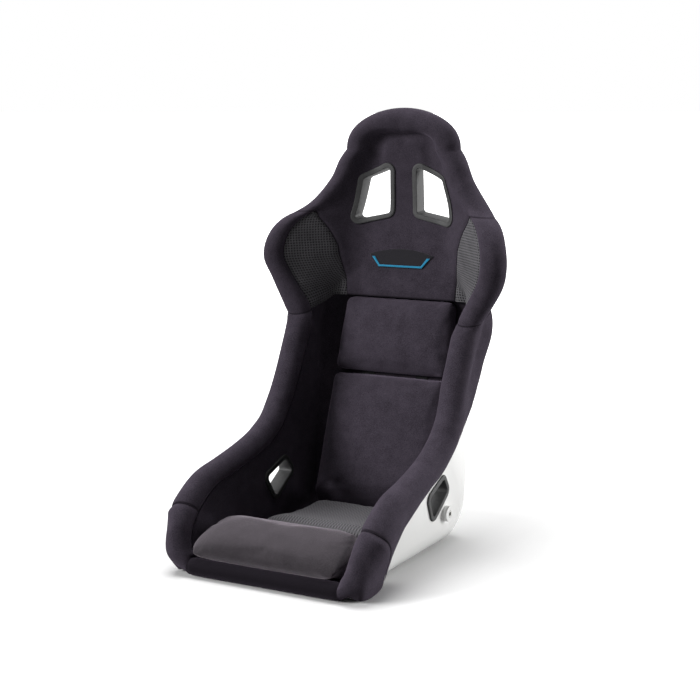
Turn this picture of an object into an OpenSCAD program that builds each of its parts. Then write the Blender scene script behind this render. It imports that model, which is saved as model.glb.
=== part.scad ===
// Fixed-back racing bucket seat: a moulded shell, foam upholstery in separate sewn pieces,
// harness slots with moulded frames, and threaded side-mount inserts.
// Millimetres. +X is the occupant's left, -Y the front, +Z up. The shell's base lies on Z = 0.

/* [Widths] */
// Overall width across the shoulder wings
shoulder_width = 548; // [500:1:600]
// Overall width across the thigh bolsters
thigh_width = 460; // [430:1:500]
// Overall width across the torso bolsters
torso_width = 432; // [410:1:460]
// Overall width of the headrest where it meets the neck
head_width = 256; // [230:1:290]
// Width of the flat floor inside the hips, before its corners are rounded
floor_width = 364; // [350:1:376]
// Width of the front roll between its end seams
front_roll_width = 320; // [300:1:330]

/* [Heights] */
// Height of the top of the headrest
seat_height = 832; // [800:1:880]
// Widest point of the shoulder wings, below the top of the headrest
wing_drop = 298; // [285:1:310]
// Seam between the torso and the shoulder pieces, below the wings' widest point
shoulder_seam_drop = 92; // [86:1:98]
// Centre of the headrest's round top, below the top of the headrest
head_round = 84; // [76:1:94]
// Height of the thigh bolster's edge where it is level
thigh_height = 160; // [145:1:175]

/* [Depths] */
// Front lip of the shell, forward of the origin's first place
lip_reach = 284; // [270:1:300]
// Rear face of the shell behind the head
head_depth = 301; // [290:1:312]
// Rear face of the shell at the heel of the back
heel_depth = 184; // [176:1:194]
// Forward edge of the shoulder wings, measured in front of the shell's rear face
wing_reach = 130; // [110:1:140]
// Depth of the headrest's dished shell
head_dish = 39; // [32:1:46]

/* [Shell] */
// Thickness of the moulded shell
shell_wall = 4; // [3:0.5:5]
// Height of the front lip above the base
lip_height = 15; // [13:1:18]
// Clearance between neighbouring pieces
gap = 0.3; // [0.2:0.05:0.5]

/* [Upholstery] */
// Radius of the padded roll round the shell's edge
roll_radius = 26; // [22:1:28]
// Thickness of the cover where it is wrapped behind the edge
skirt = 5; // [3:0.5:6]
// Length of cover wrapped behind the shell's edge
wrap = 46; // [40:1:60]
// Lining on the floor and the back
lining = 9; // [6:0.5:12]
// Lining on the side walls
side_lining = 20; // [16:0.5:21]
// Thickness of the shoulder and head cushioning
cover = 34; // [28:1:37]
// Distance of the bolster's inner seam below the shell's edge
seam_drop = 12; // [8:1:16]

/* [Cushions] */
// Front of the upper back pad's top edge, before the shell's rear face behind the head
pad_top_front = 70; // [66:1:78]
// Front of the lower back pad's foot, before the shell's rear face at the heel of the back
pad_foot_front = 83; // [78:1:90]
// Crown of the back pads above their edge
pad_crown = 9; // [5:1:14]
// Width of the upper back pad
pad_width_top = 248; // [230:1:256]
// Width of the lower back pad at its foot
pad_width_foot = 282; // [266:1:290]
// Height of the joint between the two back pads
pad_joint_height = 306; // [290:1:320]
// Top edge of the upper back pad, above the seam of the torso and shoulder pieces
pad_top_rise = 10; // [0:1:12]
// Height of the lower back pad's foot
pad_foot_height = 52; // [46:1:60]
// Extra thickness of the lower pad, which stands as a ledge below the joint
pad_ledge = 5; // [0:1:8]

/* [Seat cushions] */
// Half width of the seat cushion
seat_cushion_half = 122; // [112:1:126]
// Height of the seat cushion's top where it meets the back pad
seat_cushion_height = 57; // [52:1:62]
// Height of the seat cushion's raised front
seat_cushion_front = 72; // [64:1:78]
// Half width of the leg cushion at its rear
leg_cushion_half = 138; // [130:1:141]
// Height of the leg cushion's crest
leg_cushion_height = 101; // [92:1:106]

/* [Harness slots] */
// Width of the moulded frame round a harness slot
frame_width = 10; // [7:0.5:11]
// Height that a frame stands above what it sits on
frame_rise = 3; // [2:0.5:4]
// Wall of a slot's liner
liner_wall = 2.5; // [2:0.5:3]
// Lower edge of the shoulder slots, below the top of the headrest
shoulder_slot_drop = 228; // [220:1:234]
// Half width of the shoulder slots' outer edge at its foot
shoulder_slot_half = 110; // [105:1:114]
// How far a shoulder slot widens on each side through the thickness of the back
shoulder_slot_flare = 6; // [3:0.5:9]
// Width of the slot for the crotch strap
crotch_slot_width = 70; // [60:1:76]
// Length of the crotch slot, front to rear
crotch_slot_length = 24; // [20:1:26]
// Place of the crotch slot
crotch_slot_place = -140; // [-142:1:-138]

/* [Side mounts] */
// How far each mounting face stands out from the shell's side at its height
mount_proud = 5; // [4:0.1:9]
// Distance between the front and the rear mounting hole
mount_spacing = 290; // [284:1:296]
// Height of the mounting holes above the base
mount_height = 70; // [66:1:74]
// Place of the rear mounting hole
mount_rear_place = 66; // [62:1:70]
// Bore of a threaded insert, M8
insert_bore = 8; // [6:0.5:8]
// Diameter of an insert's barrel
insert_barrel = 14; // [13:0.5:16]
// Diameter of an insert's flange
insert_flange = 24; // [20:1:26]
// Diameter of the moulded boss round an insert
boss = 30; // [28:1:34]

/* [Badge] */
// Width of the sewn patch on the shoulder cover
badge_width = 147; // [130:1:156]
// Height of the sewn patch
badge_height = 38; // [32:1:44]

/* [Hidden] */

eps = 0.01;
$fn = 48;
white = [0.93, 0.93, 0.92];
black = [0.13, 0.12, 0.14];
dark = [0.09, 0.09, 0.11];
mesh_grey = [0.3, 0.29, 0.31];
plastic = [0.25, 0.25, 0.27];
metal = [0.7, 0.71, 0.73];
blue = [0.1, 0.5, 0.7];

// ---- The seat's lines ----------------------------------------------------------
// Each station has a point of the shell's outer face on the centre line and a point of
// the shell's free edge. A rib of the shell joins the two.

edge_inset = roll_radius;
thigh_x = thigh_width / 2 - edge_inset;
torso_x = torso_width / 2 - edge_inset;
wing_x = shoulder_width / 2 - edge_inset - 2;
head_x = head_width / 2 - edge_inset;
floor_half = floor_width / 2;
crown_height = seat_height - roll_radius;
wing_height = seat_height - wing_drop;
shoulder_seam_height = wing_height - shoulder_seam_drop;
head_centre_height = seat_height - head_round;

// Shares of the way from the heel to the shoulders, along the centre line and along the edge
back_low = [heel_depth + 9, thigh_height + 5];
back_high = [head_depth - 27, shoulder_seam_height];
function back_at(across, up) = [mix(back_low[0], back_high[0], across), mix(back_low[1], back_high[1], up)];
side_low = [66, thigh_height + 81];
side_high = [head_depth - 134, shoulder_seam_height - 8];
function side_at(across, up) = [mix(side_low[0], side_high[0], across), mix(side_low[1], side_high[1], up)];

// Centre line: depth, height, half width of the flat floor, corner size
spine = [
    [-lip_reach, lip_height, front_roll_width / 2 - 8, 4],
    [-205, 2, floor_half - 14, 30],
    [-175, 0, floor_half - 8, 40],
    [-150, 0, floor_half - 4, 46],
    [-120, 0, floor_half - 2, 50],
    [-80, 0, floor_half - 1, 50],
    [-30, 0, floor_half, 50],
    [25, 0, floor_half, 50],
    [80, 0, floor_half, 50],
    [130, 3, floor_half - 2, 52],
    [heel_depth - 16, 36, floor_half, 55],
    [heel_depth, 95, floor_half, 55],
    [each back_low, floor_half - 2, 55],
    [each back_at(0.235, 0.27), torso_x - 9, 55],
    [each back_at(0.543, 0.56), torso_x + 5, 55],
    [each back_at(0.852, 0.834), torso_x + 18, 55],
    [head_depth - 27, shoulder_seam_height + 18, torso_x - 5, 52],
    [head_depth - 21, wing_height - 30, torso_x - 58, 50],
    [head_depth - 15, wing_height, torso_x - 74, 50],
    [head_depth - 8, wing_height + 42, torso_x - 80, 50],
    [head_depth - 3, wing_height + 75, torso_x - 80, 46],
    [head_depth, wing_height + 106, torso_x - 84, 44],
    [head_depth, head_centre_height - 62, head_x - 11, 40],
    [head_depth, head_centre_height - 21, head_x - 22, 36],
    [head_depth - 1, head_centre_height, head_x - 27, 34]
];

// Free edge: half width, depth, height
edge = [
    [front_roll_width / 2 + gap, -lip_reach - 0.2, lip_height + 0.9],
    [thigh_x - 18, -lip_reach + 4, 30],
    [thigh_x - 7, -lip_reach + 9, 54],
    [thigh_x - 2, -lip_reach + 26, 88],
    [thigh_x, -222, thigh_height - 40],
    [thigh_x, -172, thigh_height - 13],
    [thigh_x - 2, -112, thigh_height - 1],
    [thigh_x - 5, -55, thigh_height + 12],
    [torso_x + 6, -5, thigh_height + 28],
    [torso_x + 4, 38, thigh_height + 52],
    [torso_x + 4, each side_low],
    [torso_x + 2, each side_at(0.198, 0.16)],
    [torso_x, each side_at(0.366, 0.331)],
    [torso_x, each side_at(0.574, 0.528)],
    [torso_x, each side_at(0.792, 0.746)],
    [torso_x + 2, each side_at(0.911, 0.865)],
    [torso_x + 10, each side_high],
    [wing_x - 14, head_depth - wing_reach + 1, wing_height - 42],
    [wing_x, head_depth - wing_reach - 8, wing_height],
    [wing_x - 6, head_depth - wing_reach, wing_height + 42],
    [wing_x - 26, head_depth - wing_reach + 22, wing_height + 75],
    [head_x + 74, head_depth - head_dish - 28, wing_height + 106],
    [head_x + 35, head_depth - head_dish - 11, head_centre_height - 62],
    [head_x + 15, head_depth - head_dish - 4, head_centre_height - 21],
    [head_x, head_depth - head_dish, head_centre_height]
];

neck = len(spine) - 1;
fan = 4;
crown = neck + fan;
row_step = 0.5;

function mix(a, b, t) = a + (b - a) * t;
function clamp(t) = max(0, min(1, t));
function unit(v) = v / norm(v);

// Smooth curve through the rows of a table, at a place between two rows. Before row 1 it is straight.
function spline(p, q, r, s, t) =
    0.5 * (2 * q + (r - p) * t + (2 * p - 5 * q + 4 * r - s) * t * t + (3 * q - p - 3 * r + s) * t * t * t);
function along(rows, s) =
    let (n = len(rows) - 1, i = min(floor(s), n - 1))
    s < 1 ? mix(rows[0], rows[1], s)
    : spline(rows[i - 1], rows[i], rows[i + 1], rows[min(i + 2, n)], s - i);

// A rib: origin, sideways, towards the edge, half floor, corner, edge across, edge up, inward, station
function side_rib(s) =
    let (
        c = along(spine, s),
        e = along(edge, s),
        d = [0, e[1] - c[0], e[2] - c[1]],
        t = along(spine, min(s + 0.05, neck)) - along(spine, max(s - 0.05, 0))
    )
    [[0, c[0], max(c[1], 0)], [1, 0, 0], unit(d), c[2], c[3], e[0], norm(d), unit([0, -t[1], t[0]]), s];

// Round the headrest's top the ribs stand like spokes about its centre
head_power = 2.3;
head_flat = 27;
head_corner = 34;
function head_rib(s) =
    let (
        turn = 90 * (s - neck) / fan,
        a = pow(cos(turn) / head_x, head_power),
        b = turn > 89.9 ? pow(1 / (crown_height - head_centre_height), head_power)
            : pow(sin(turn) / (crown_height - head_centre_height), head_power),
        reach = pow(a + b, -1 / head_power)
    )
    [[0, head_depth - 1, head_centre_height], [cos(turn), 0, sin(turn)], [0, -1, 0],
        reach * (head_x - head_flat) / head_x, head_corner, reach,
        mix(head_dish - 1, head_dish - 9, turn / 90), [0, -1, 0], s];

function rib(s) = s <= neck ? side_rib(s) : head_rib(s);
function ribs(from, to) =
    [for (s = [from, each [for (k = [ceil(from / row_step + eps) : floor(to / row_step - eps)]) k * row_step], to])
        if (s >= 1 || s == from || s == to) rib(s)];

// Lengths along a rib: flat floor, rounded corner, whole
function corner_in(r) = min(r[4], 0.9 * r[3]);
function wall_run(r) = [r[5] - r[3], r[6]];
function corner_out(r) = min(r[4], 0.7 * norm(wall_run(r)));
function flat_length(r) = r[3] - corner_in(r);
function bend_length(r) =
    (2 * norm([corner_in(r), 0] + unit(wall_run(r)) * corner_out(r)) + corner_in(r) + corner_out(r)) / 3;
function rib_length(r) = flat_length(r) + bend_length(r) + norm(wall_run(r)) - corner_out(r);
function seam_length(r) = max(rib_length(r) - seam_drop, flat_length(r) + bend_length(r) + 1);

// Point and direction of a rib's outer face, at a length from the centre line
function face_line(r, l) =
    let (a = flat_length(r), b = bend_length(r), u = unit(wall_run(r)))
    l <= a ? [[l, 0], [1, 0]]
    : l < a + b ?
        let (t = (l - a) / b, q = [r[3], 0], m = mix([a, 0], q, t), n = mix(q, q + u * corner_out(r), t))
        [mix(m, n, t), unit(n - m)]
    : [[r[3], 0] + u * (corner_out(r) + l - a - b), u];

// Point in space on a rib, at a depth inside the outer face
function place(r, l, depth) =
    let (f = face_line(r, l))
    r[0] + r[1] * (f[0][0] - f[1][1] * depth) + r[2] * f[0][1] + r[7] * (f[1][0] * depth);

// Length along a rib at which a layer reaches a half width
function length_at(r, x, depth, lo, hi, steps = 14) =
    let (m = (lo + hi) / 2)
    steps == 0 ? m
    : place(r, m, depth)[0] < x ? length_at(r, x, depth, m, hi, steps - 1)
    : length_at(r, x, depth, lo, m, steps - 1);

// ---- Solids from grids of points -----------------------------------------------
// A grid has a row for each rib. A shape's columns run over the flat, the corner and the wall.
flat_columns = 2;
bend_columns = 4;
wall_columns = 2;
columns = flat_columns + bend_columns + wall_columns;
function column_length(r, j, end) =
    lookup(j, [[0, 0], [flat_columns, min(flat_length(r), end)],
        [flat_columns + bend_columns, min(flat_length(r) + bend_length(r), end)], [columns, end]]);

function both_sides(grid) =
    [for (row = grid) [each [for (j = [len(row) - 1 : -1 : 1]) [-row[j][0], row[j][1], row[j][2]]], each row]];

function triangles(a, b, c, d) =
    [for (t = [[a, b, c], [a, c, d]]) if (t[0] != t[1] && t[1] != t[2] && t[2] != t[0]) t];

// Closed solid between two grids. Where pole is a row, the rows from it on are spokes that
// share their middle point, and the last row joins the left half to the right.
module skin(outside, inside, pole = undef, kept = function(i, j) true) {
    n = len(outside);
    w = len(outside[0]);
    mid = (w - 1) / 2;
    spot = function(i, j)
        let (
            c = pole != undef && i == n - 1 && j < mid ? w - 1 - j : j,
            r = pole != undef && i > pole && c == mid ? pole : i
        ) r * w + c;
    there = function(i, j) i >= 0 && j >= 0 && i < n - 1 && j < w - 1 && kept(i, j);
    back = n * w;
    faces = [for (i = [0 : n - 2]) for (j = [0 : w - 2]) if (there(i, j))
        let (a = spot(i, j), b = spot(i, j + 1), c = spot(i + 1, j + 1), d = spot(i + 1, j))
        each [
            each triangles(a, b, c, d),
            each triangles(back + d, back + c, back + b, back + a),
            each if (!there(i, j - 1)) triangles(d, back + d, back + a, a),
            each if (!there(i, j + 1)) triangles(b, back + b, back + c, c),
            each if (!there(i - 1, j)) triangles(a, back + a, back + b, b),
            each if (!there(i + 1, j) && !(pole != undef && i == n - 2)) triangles(c, back + c, back + d, d)
        ]];
    polyhedron([each for (row = outside) row, each for (row = inside) row], faces);
}

module both() {
    children();
    mirror([1, 0, 0]) children();
}

// Outline with rounded corners. A grown outline keeps the centres of its corners.
function rounded(points, radius, grow = 0, steps = 4) =
    [for (i = [0 : len(points) - 1])
        let (
            n = len(points),
            p = points[i],
            a = unit(points[(i + n - 1) % n] - p),
            b = unit(points[(i + 1) % n] - p),
            half = acos(a * b) / 2,
            centre = p + unit(a + b) * radius / sin(half),
            start = atan2(-(a + b)[1], -(a + b)[0]) - (90 - half)
        )
        each [for (k = [0 : steps]) let (t = start + 2 * (90 - half) * k / steps)
            centre + (radius + grow) * [cos(t), sin(t)]]];

// ---- Layers of the seat --------------------------------------------------------
front_seam = 3;
shoulder_seam = 15.75;
wing_top = 20.5;
seam_share = 0.004;
lining_start = 0.35;

cover_back = shell_wall + gap;
roll_seat = shell_wall / 2 + sqrt(roll_radius * roll_radius - seam_drop * seam_drop);
function lining_face(r, l) =
    cover_back + mix(lining, side_lining, clamp((l - flat_length(r)) / bend_length(r)));
function cover_face(r, l) =
    mix(cover_back + cover, roll_seat, clamp((l - flat_length(r)) / (seam_length(r) - flat_length(r))));

// Lengths at which the layers have their columns, and a point on the flat facets between them
function columns_of(r, trim = 0) = [for (j = [0 : columns]) column_length(r, j, seam_length(r) - trim)];
function on_facets(r, l, depth, c) =
    let (
        at = lookup(l, [for (j = [0 : columns]) [c[j], j]]),
        j = min(floor(at), columns - 1)
    )
    mix(place(r, c[j], depth(r, c[j])), place(r, c[j + 1], depth(r, c[j + 1])), at - j);

// ---- Shell ---------------------------------------------------------------------
function shell_grid(rows, depth) =
    both_sides([for (r = rows) [for (l = [each columns_of(r), rib_length(r)]) place(r, l, depth)]]);
module shell_skin(out, in) {
    rows = ribs(0, crown);
    skin(shell_grid(rows, out), shell_grid(rows, in), len(rows) - 1 - fan / row_step);
}

// Layer of the seat between two depths, from the one nearer the shell
module layer(from, to, near, far, trim = 0) {
    rows = ribs(from, to);
    grid = function(depth)
        [for (r = rows) [for (j = [0 : columns])
            let (l = column_length(r, j, seam_length(r) - trim)) place(r, l, depth(r, l))]];
    skin(both_sides(grid(near)), both_sides(grid(far)));
}

// ---- Padded roll round the shell's edge ----------------------------------------
// Outline of the roll as [up the wall past its edge, depth], from the inner seam to the wrapped end
roll_turns = [-asin(seam_drop / roll_radius), 25, 65, 105, 150, 205];
roll_inner_turns = 3;
skirt_steps = 4;
function roll_outline(radius, tail) =
    [
        each [for (a = roll_turns) [radius * sin(a), shell_wall / 2 + radius * cos(a)]],
        each [for (i = [1 : skirt_steps])
            [mix(-radius * 0.7, -tail, i / skirt_steps), -skirt - skirt_gap - (i < skirt_steps ? 1.5 : 0)]]
    ];
function roll_lining(radius, tail, seam = seam_drop) =
    [
        each [for (i = [0 : roll_inner_turns]) [mix(-seam, gap, i / roll_inner_turns), cover_back]],
        [gap, -gap],
        [-seam, -gap],
        each [for (i = [1 : skirt_steps]) [mix(-seam, -tail, i / skirt_steps), -skirt_gap]]
    ];

// The wrapped end lies at the base round the nose and is shortest along the hips
skirt_gap = 0.6;
skirt_low = 3.3;
skirt_high = 6.2;
skirt_foot = 0.6;
function wrap_length(s) =
    wrap * lookup(s, [[12, 1], [13, 1.3], [14, 1.75], [shoulder_seam, 2], [17.5, 1.4], [18.5, 1]]);
function tail(r) =
    let (full = rib_length(r) - flat_length(r) - skirt_foot * bend_length(r), short = wrap_length(r[8]))
    short + (max(full, short) - short) * pow(1 - clamp((r[8] - skirt_low) / (skirt_high - skirt_low)), 3);

// At the front the wrapped cover stands out to a foot on the floor
nose_foot = 0.6;
nose_bulge = 7;
foot_line = [[1, [-28, -10]], [1.5, [-8, -2]], [2, [0, 16]], [3, [-8, 78]], [6, [-40, 170]]];
function foot_share(r) = r[8] > neck ? 0 : 1 - clamp((r[8] - front_seam) / 2.2);
function foot_point(r) =
    let (side = [for (q = foot_line) [q[0], q[1][0]]], ahead = [for (q = foot_line) [q[0], q[1][1]]])
    [thigh_x + lookup(r[8], side), lookup(r[8], ahead) - lip_reach, nose_foot];
function roll_row(r, outline, outside) =
    let (
        n = len(outline) - 1,
        at = function(i) place(r, rib_length(r) + outline[i][0], outline[i][1]),
        flank = function(k) mix(at(n - skirt_steps), foot_point(r), k) + [nose_bulge * sin(180 * k), 0, 0]
    )
    [for (i = [0 : n])
        let (p = at(i), k = (i - n + skirt_steps) / skirt_steps)
        outside && k > 0 ? mix(p, flank(k), foot_share(r)) : [p[0], p[1], max(p[2], nose_foot)]];
function roll_front(rows) = [for (r = rows) roll_row(r, roll_outline(roll_radius, tail(r)), true)];
function roll_back(rows) = [for (r = rows) roll_row(r, roll_lining(roll_radius, tail(r)), false)];

module roll(from, to) {
    rows = ribs(from, to);
    skin(roll_back(rows), roll_front(rows));
}

// ---- Front nose and front roll -------------------------------------------------
front_roll_radius = lip_height + shell_wall / 2 - gap;
lip_way = unit([spine[0][0] - spine[1][0], spine[0][1] - spine[1][1]]);
lip_tail = front_roll_radius * 1.4;
function lip_row(outline) =
    [for (p = outline)
        let (q = lip_way * p[0] + [lip_way[1], -lip_way[0]] * p[1])
        [front_roll_width / 2 + gap, spine[0][0] + q[0], max(spine[0][1] + q[1], nose_foot)]];

module nose() {
    rows = ribs(1, front_seam - seam_share);
    skin(
        concat([lip_row(roll_lining(front_roll_radius, lip_tail, seam_drop / 2))], roll_back(rows)),
        concat([lip_row(roll_outline(front_roll_radius, lip_tail))], roll_front(rows))
    );
}

module front_roll_shape() {
    difference() {
        translate([-lip_reach, lip_height + shell_wall / 2]) circle(front_roll_radius);
        translate([-lip_reach, lip_height]) rotate(atan2(-lip_way[1], -lip_way[0]))
            translate([-2 * gap, -2 * gap]) square([2 * front_roll_radius, shell_wall + 4 * gap]);
    }
}

// ---- Head and shoulder cover ---------------------------------------------------
// Inner edge of the shoulder wings' mesh panels, as a half width for each station
wing_close = 20;
mesh_edge = [[15.75, 124], [17, 129], [18.4, 135], [19.2, 148], [wing_close, 164]];
function mesh_length(r) =
    r[8] <= wing_close ?
        length_at(r, lookup(r[8], mesh_edge), cover_back + cover * 0.8, flat_length(r) * 0.8, seam_length(r))
    : let (a = rib(wing_close), b = rib(wing_top))
        mix(mesh_length(a), seam_length(b), (r[8] - wing_close) / (wing_top - wing_close));
cover_columns = [0, 0.3, 0.52, 0.66, 0.76, 0.86, 0.94, 0.98, 1];
function cover_end(r) = r[8] < wing_top ? mesh_length(r) : seam_length(r);
function wedge_lengths(r) = [for (j = [0 : columns]) cover_end(r) * cover_columns[j]];
function cover_lengths(r) = r[8] < wing_top ? wedge_lengths(r) : columns_of(r);

function cover_front(r) =
    [each [for (l = cover_lengths(r)) place(r, l, cover_face(r, l))],
        each [for (i = [1 : len(roll_turns) + skirt_steps - 1]) roll_front([r])[0][i]]];
function cover_rear(r) =
    let (c = columns_of(r), roll = roll_back([r])[0])
    [each [for (l = cover_lengths(r)) on_facets(r, l, function(r, l) cover_back, c)],
        each [for (i = [1 : len(roll) - 1]) roll[i]]];

module head_cover_skin() {
    rows = ribs(shoulder_seam + seam_share, crown);
    first = len([for (r = rows) if (r[8] < wing_top) 1]);
    mid = columns + len(roll_turns) + skirt_steps - 1;
    skin(
        both_sides([for (r = rows) cover_rear(r)]),
        both_sides([for (r = rows) cover_front(r)]),
        len(rows) - 1 - fan / row_step,
        function(i, j) i >= first || abs(j + 0.5 - mid) < columns
    );
}

panel_top = 20.35;
panel_columns = 5;
module wing_panel() {
    rows = ribs(shoulder_seam + seam_share, panel_top);
    at = function(r, k) mix(mesh_length(r) + 2 * gap, seam_length(r) - gap, k / panel_columns);
    skin(
        [for (r = rows) let (c = columns_of(r))
            [for (k = [0 : panel_columns]) on_facets(r, at(r, k), function(r, l) cover_back, c)]],
        [for (r = rows) [for (k = [0 : panel_columns]) place(r, at(r, k), cover_face(r, at(r, k)))]]
    );
}

// ---- Back pads -----------------------------------------------------------------
hook_strip = 2;
pad_back = 2 * gap + hook_strip;
pad_top_depth = head_depth - pad_top_front;
pad_foot_depth = heel_depth - pad_foot_front;
pad_top_height = shoulder_seam_height + pad_top_rise;
pad_slope = (pad_top_depth - pad_foot_depth) / (pad_top_height - pad_foot_height);
function pad_plane(z) = pad_top_depth - pad_slope * (pad_top_height - z);
function pad_reach(b, n, ledge) =
    (b[1] - pad_plane(b[2]) + ledge) / (pad_slope * n[2] - n[1]);

// Station at which a pad's middle stands at a height
function pad_front_height(s) =
    let (r = rib(s), b = place(r, 0, lining_face(r, 0) + pad_back)) (b + r[7] * pad_reach(b, r[7], 0))[2];
function pad_station(z, lo = 9, hi = 17, steps = 16) =
    let (m = (lo + hi) / 2)
    steps == 0 ? m : pad_front_height(m) < z ? pad_station(z, m, hi, steps - 1) : pad_station(z, lo, m, steps - 1);

pad_fractions = [0, 0.3, 0.6, 0.84, 0.95, 1];
pad_bevel = 14;
pad_round = 8;
function shoulder_of(d) = pad_round * pow(1 - clamp(d / pad_bevel), 2);
function corner_loss(d, radius) = radius - sqrt(radius * radius - pow(max(0, radius - d), 2));

module back_pad(z0, z1, radius0, radius1, ledge) {
    s0 = pad_station(z0);
    s1 = pad_station(z1);
    steps = [5, 13, 26];
    per = (s1 - s0) / (z1 - z0);
    list = [s0, each [for (d = steps) s0 + d * per],
        each [for (k = [ceil((s0 + 32 * per) / row_step) : floor((s1 - 32 * per) / row_step)]) k * row_step],
        each [for (i = [len(steps) - 1 : -1 : 0]) s1 - steps[i] * per], s1];
    rows = [for (s = list) rib(s)];
    half = function(r)
        let (d0 = (r[8] - s0) / per, d1 = (s1 - r[8]) / per, z = mix(z0, z1, (r[8] - s0) / (s1 - s0)))
        mix(pad_width_foot, pad_width_top, (z - pad_foot_height) / (pad_top_height - pad_foot_height)) / 2
            - corner_loss(d0, radius0) - corner_loss(d1, radius1);
    back = function(r, x) let (c = columns_of(r, gap), l = length_at(r, x, lining_face(r, x) + pad_back, 0, seam_length(r)))
        on_facets(r, l, function(r, l) lining_face(r, l) + pad_back, c);
    front = function(r, x, u)
        let (
            b = back(r, x),
            m = back(r, min(x, flat_length(r) * 0.98)),
            d = min((r[8] - s0) / per, (s1 - r[8]) / per),
            t = pad_reach(m, r[7], ledge) + pad_crown * (1 - u * u) * clamp(d / 40),
            v = m + r[7] * (t - min(pad_round + 3, shoulder_of((1 - u) * half(r)) + shoulder_of(d)))
        )
        [b[0], v[1], v[2]];
    skin(
        both_sides([for (r = rows) [for (u = pad_fractions) back(r, half(r) * u * 0.985)]]),
        both_sides([for (r = rows) [for (u = pad_fractions) front(r, half(r) * u, u)]])
    );
}

// Hook strip between two stations of the lining's flat middle
strip_inner = 48;
strip_outer = 74;
module strip(from, to) {
    rows = ribs(from, to);
    at = function(depth)
        [for (r = rows) [for (x = [strip_inner, strip_outer])
            on_facets(r, x, function(r, l) lining_face(r, l) + depth, columns_of(r, gap))]];
    skin(at(gap), at(gap + hook_strip));
}

// ---- Seat and leg cushions -----------------------------------------------------
floor_top = cover_back + lining + pad_back;
cushion_fractions = [0, 0.35, 0.65, 0.86, 0.96, 1];
// Rows from rear to front: depth and height of the top, half width, depth and height of the underside
module cushion(rows, side, tuck) {
    top = function(q, u)
        let (h = q[1] - q[4], fall = u == 1 ? 0.5 * h : side * pow(u, 6))
        [q[2] * u, q[0], q[1] - fall];
    skin(
        both_sides([for (q = rows) [for (u = cushion_fractions) top(q, u)]]),
        both_sides([for (q = rows) [for (u = cushion_fractions) [(q[2] - tuck) * u, q[3], q[4]]]])
    );
}

seat_rear = 97;
seat_front = -113;
function seat_cushion_rows() =
    let (a = seat_cushion_height, b = seat_cushion_front, x = seat_cushion_half, front = seat_front)
    [
        [seat_rear + 4, a - 22, x - 3, seat_rear + 4, floor_top + 1],
        [seat_rear, a - 5, x, seat_rear - 2, floor_top],
        [seat_rear - 8, a - 1, x + 2, seat_rear - 14, floor_top],
        [seat_rear - 30, a, x + 2, seat_rear - 34, floor_top],
        [seat_rear - 70, a + 1, x, seat_rear - 70, floor_top],
        [front + 80, mix(a, b, 0.3), x, front + 80, floor_top],
        [front + 42, mix(a, b, 0.7), x, front + 44, floor_top],
        [front + 18, b, x, front + 24, floor_top],
        [front + 6, b - 4, x - 1, front + 14, floor_top],
        [front, b - 16, x - 3, front + 8, floor_top],
        [front - 1, b - 34, x - 5, front + 5, floor_top]
    ];

leg_rear = -168;
leg_front = -lip_reach - 8;
leg_front_half = 158;
function leg_floor(y) = max(0, lookup(y, [[spine[0][0], spine[0][1]], [spine[1][0], spine[1][1]], [spine[2][0], 0]]))
    + floor_top;
function leg_cushion_rows() =
    let (
        h = leg_cushion_height,
        x = leg_cushion_half,
        f = leg_front_half,
        rest = lip_height + shell_wall / 2 + front_roll_radius + gap
    )
    [
        [leg_rear, h - 44, x - 4, leg_rear - 8, leg_floor(leg_rear)],
        [leg_rear - 1, h - 20, x - 1, leg_rear - 10, leg_floor(leg_rear)],
        [leg_rear - 5, h - 6, x + 1, leg_rear - 14, leg_floor(leg_rear - 14)],
        [leg_rear - 14, h - 1, x + 3, leg_rear - 22, leg_floor(leg_rear - 22)],
        [leg_rear - 28, h, x + 8, leg_rear - 34, leg_floor(leg_rear - 34) + 0.4],
        [leg_rear - 48, h - 6, x + 13, leg_rear - 50, leg_floor(leg_rear - 50) + 0.4],
        [leg_rear - 68, h - 16, x + 17, leg_rear - 68, leg_floor(leg_rear - 68) + 0.4],
        [leg_rear - 86, h - 29, f, leg_rear - 84, leg_floor(leg_rear - 84) + 0.8],
        [leg_rear - 102, h - 42, f, leg_rear - 97, rest],
        [leg_front + 6, h - 52, f - 1, leg_front + 14, rest],
        [leg_front, h - 60, f - 4, leg_front + 10, rest]
    ];

// ---- Harness slots -------------------------------------------------------------
slot_round = 7;
shoulder_slot_height = seat_height - shoulder_slot_drop;
shoulder_slot_tall = 111;
shoulder_slot = [
    [shoulder_slot_half - 78, shoulder_slot_height + 17],
    [shoulder_slot_half, shoulder_slot_height],
    [shoulder_slot_half - 21, shoulder_slot_height + 84],
    [shoulder_slot_half - 79, shoulder_slot_height + shoulder_slot_tall]
];
shoulder_slot_middle = shoulder_slot_half - 40;
function slot_widening(y) =
    1 + shoulder_slot_flare / 40 * (y - head_depth + cover_back + cover + 10) / (cover_back + cover);
lap_slot = [[-13, 119], [9, 76], [69, 115], [50, 142]];
crotch_slot = [
    for (p = [[-1, -1], [1, -1], [1, 1], [-1, 1]])
        [p[0] * crotch_slot_width / 2, crotch_slot_place + p[1] * crotch_slot_length / 2]
];

// Prism of a slot's outline, grown, through the back, through the sides or through the floor
module through_back(grow) {
    rear = head_depth + 30;
    wide = slot_widening(rear);
    translate([shoulder_slot_middle, rear, 0]) rotate([90, 0, 0])
        linear_extrude(130, slices = 1, segments = 1, scale = [slot_widening(rear - 130) / wide, 1])
            polygon([for (p = rounded(shoulder_slot, slot_round, grow)) [(p[0] - shoulder_slot_middle) * wide, p[1]]]);
}
module through_side(grow) {
    translate([120, 0, 0]) rotate([90, 0, 90])
        linear_extrude(120) polygon(rounded(lap_slot, slot_round, grow));
}
module through_floor(grow, low, high) {
    translate([0, 0, low]) linear_extrude(high - low) polygon(rounded(crotch_slot, slot_round, grow));
}

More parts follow.
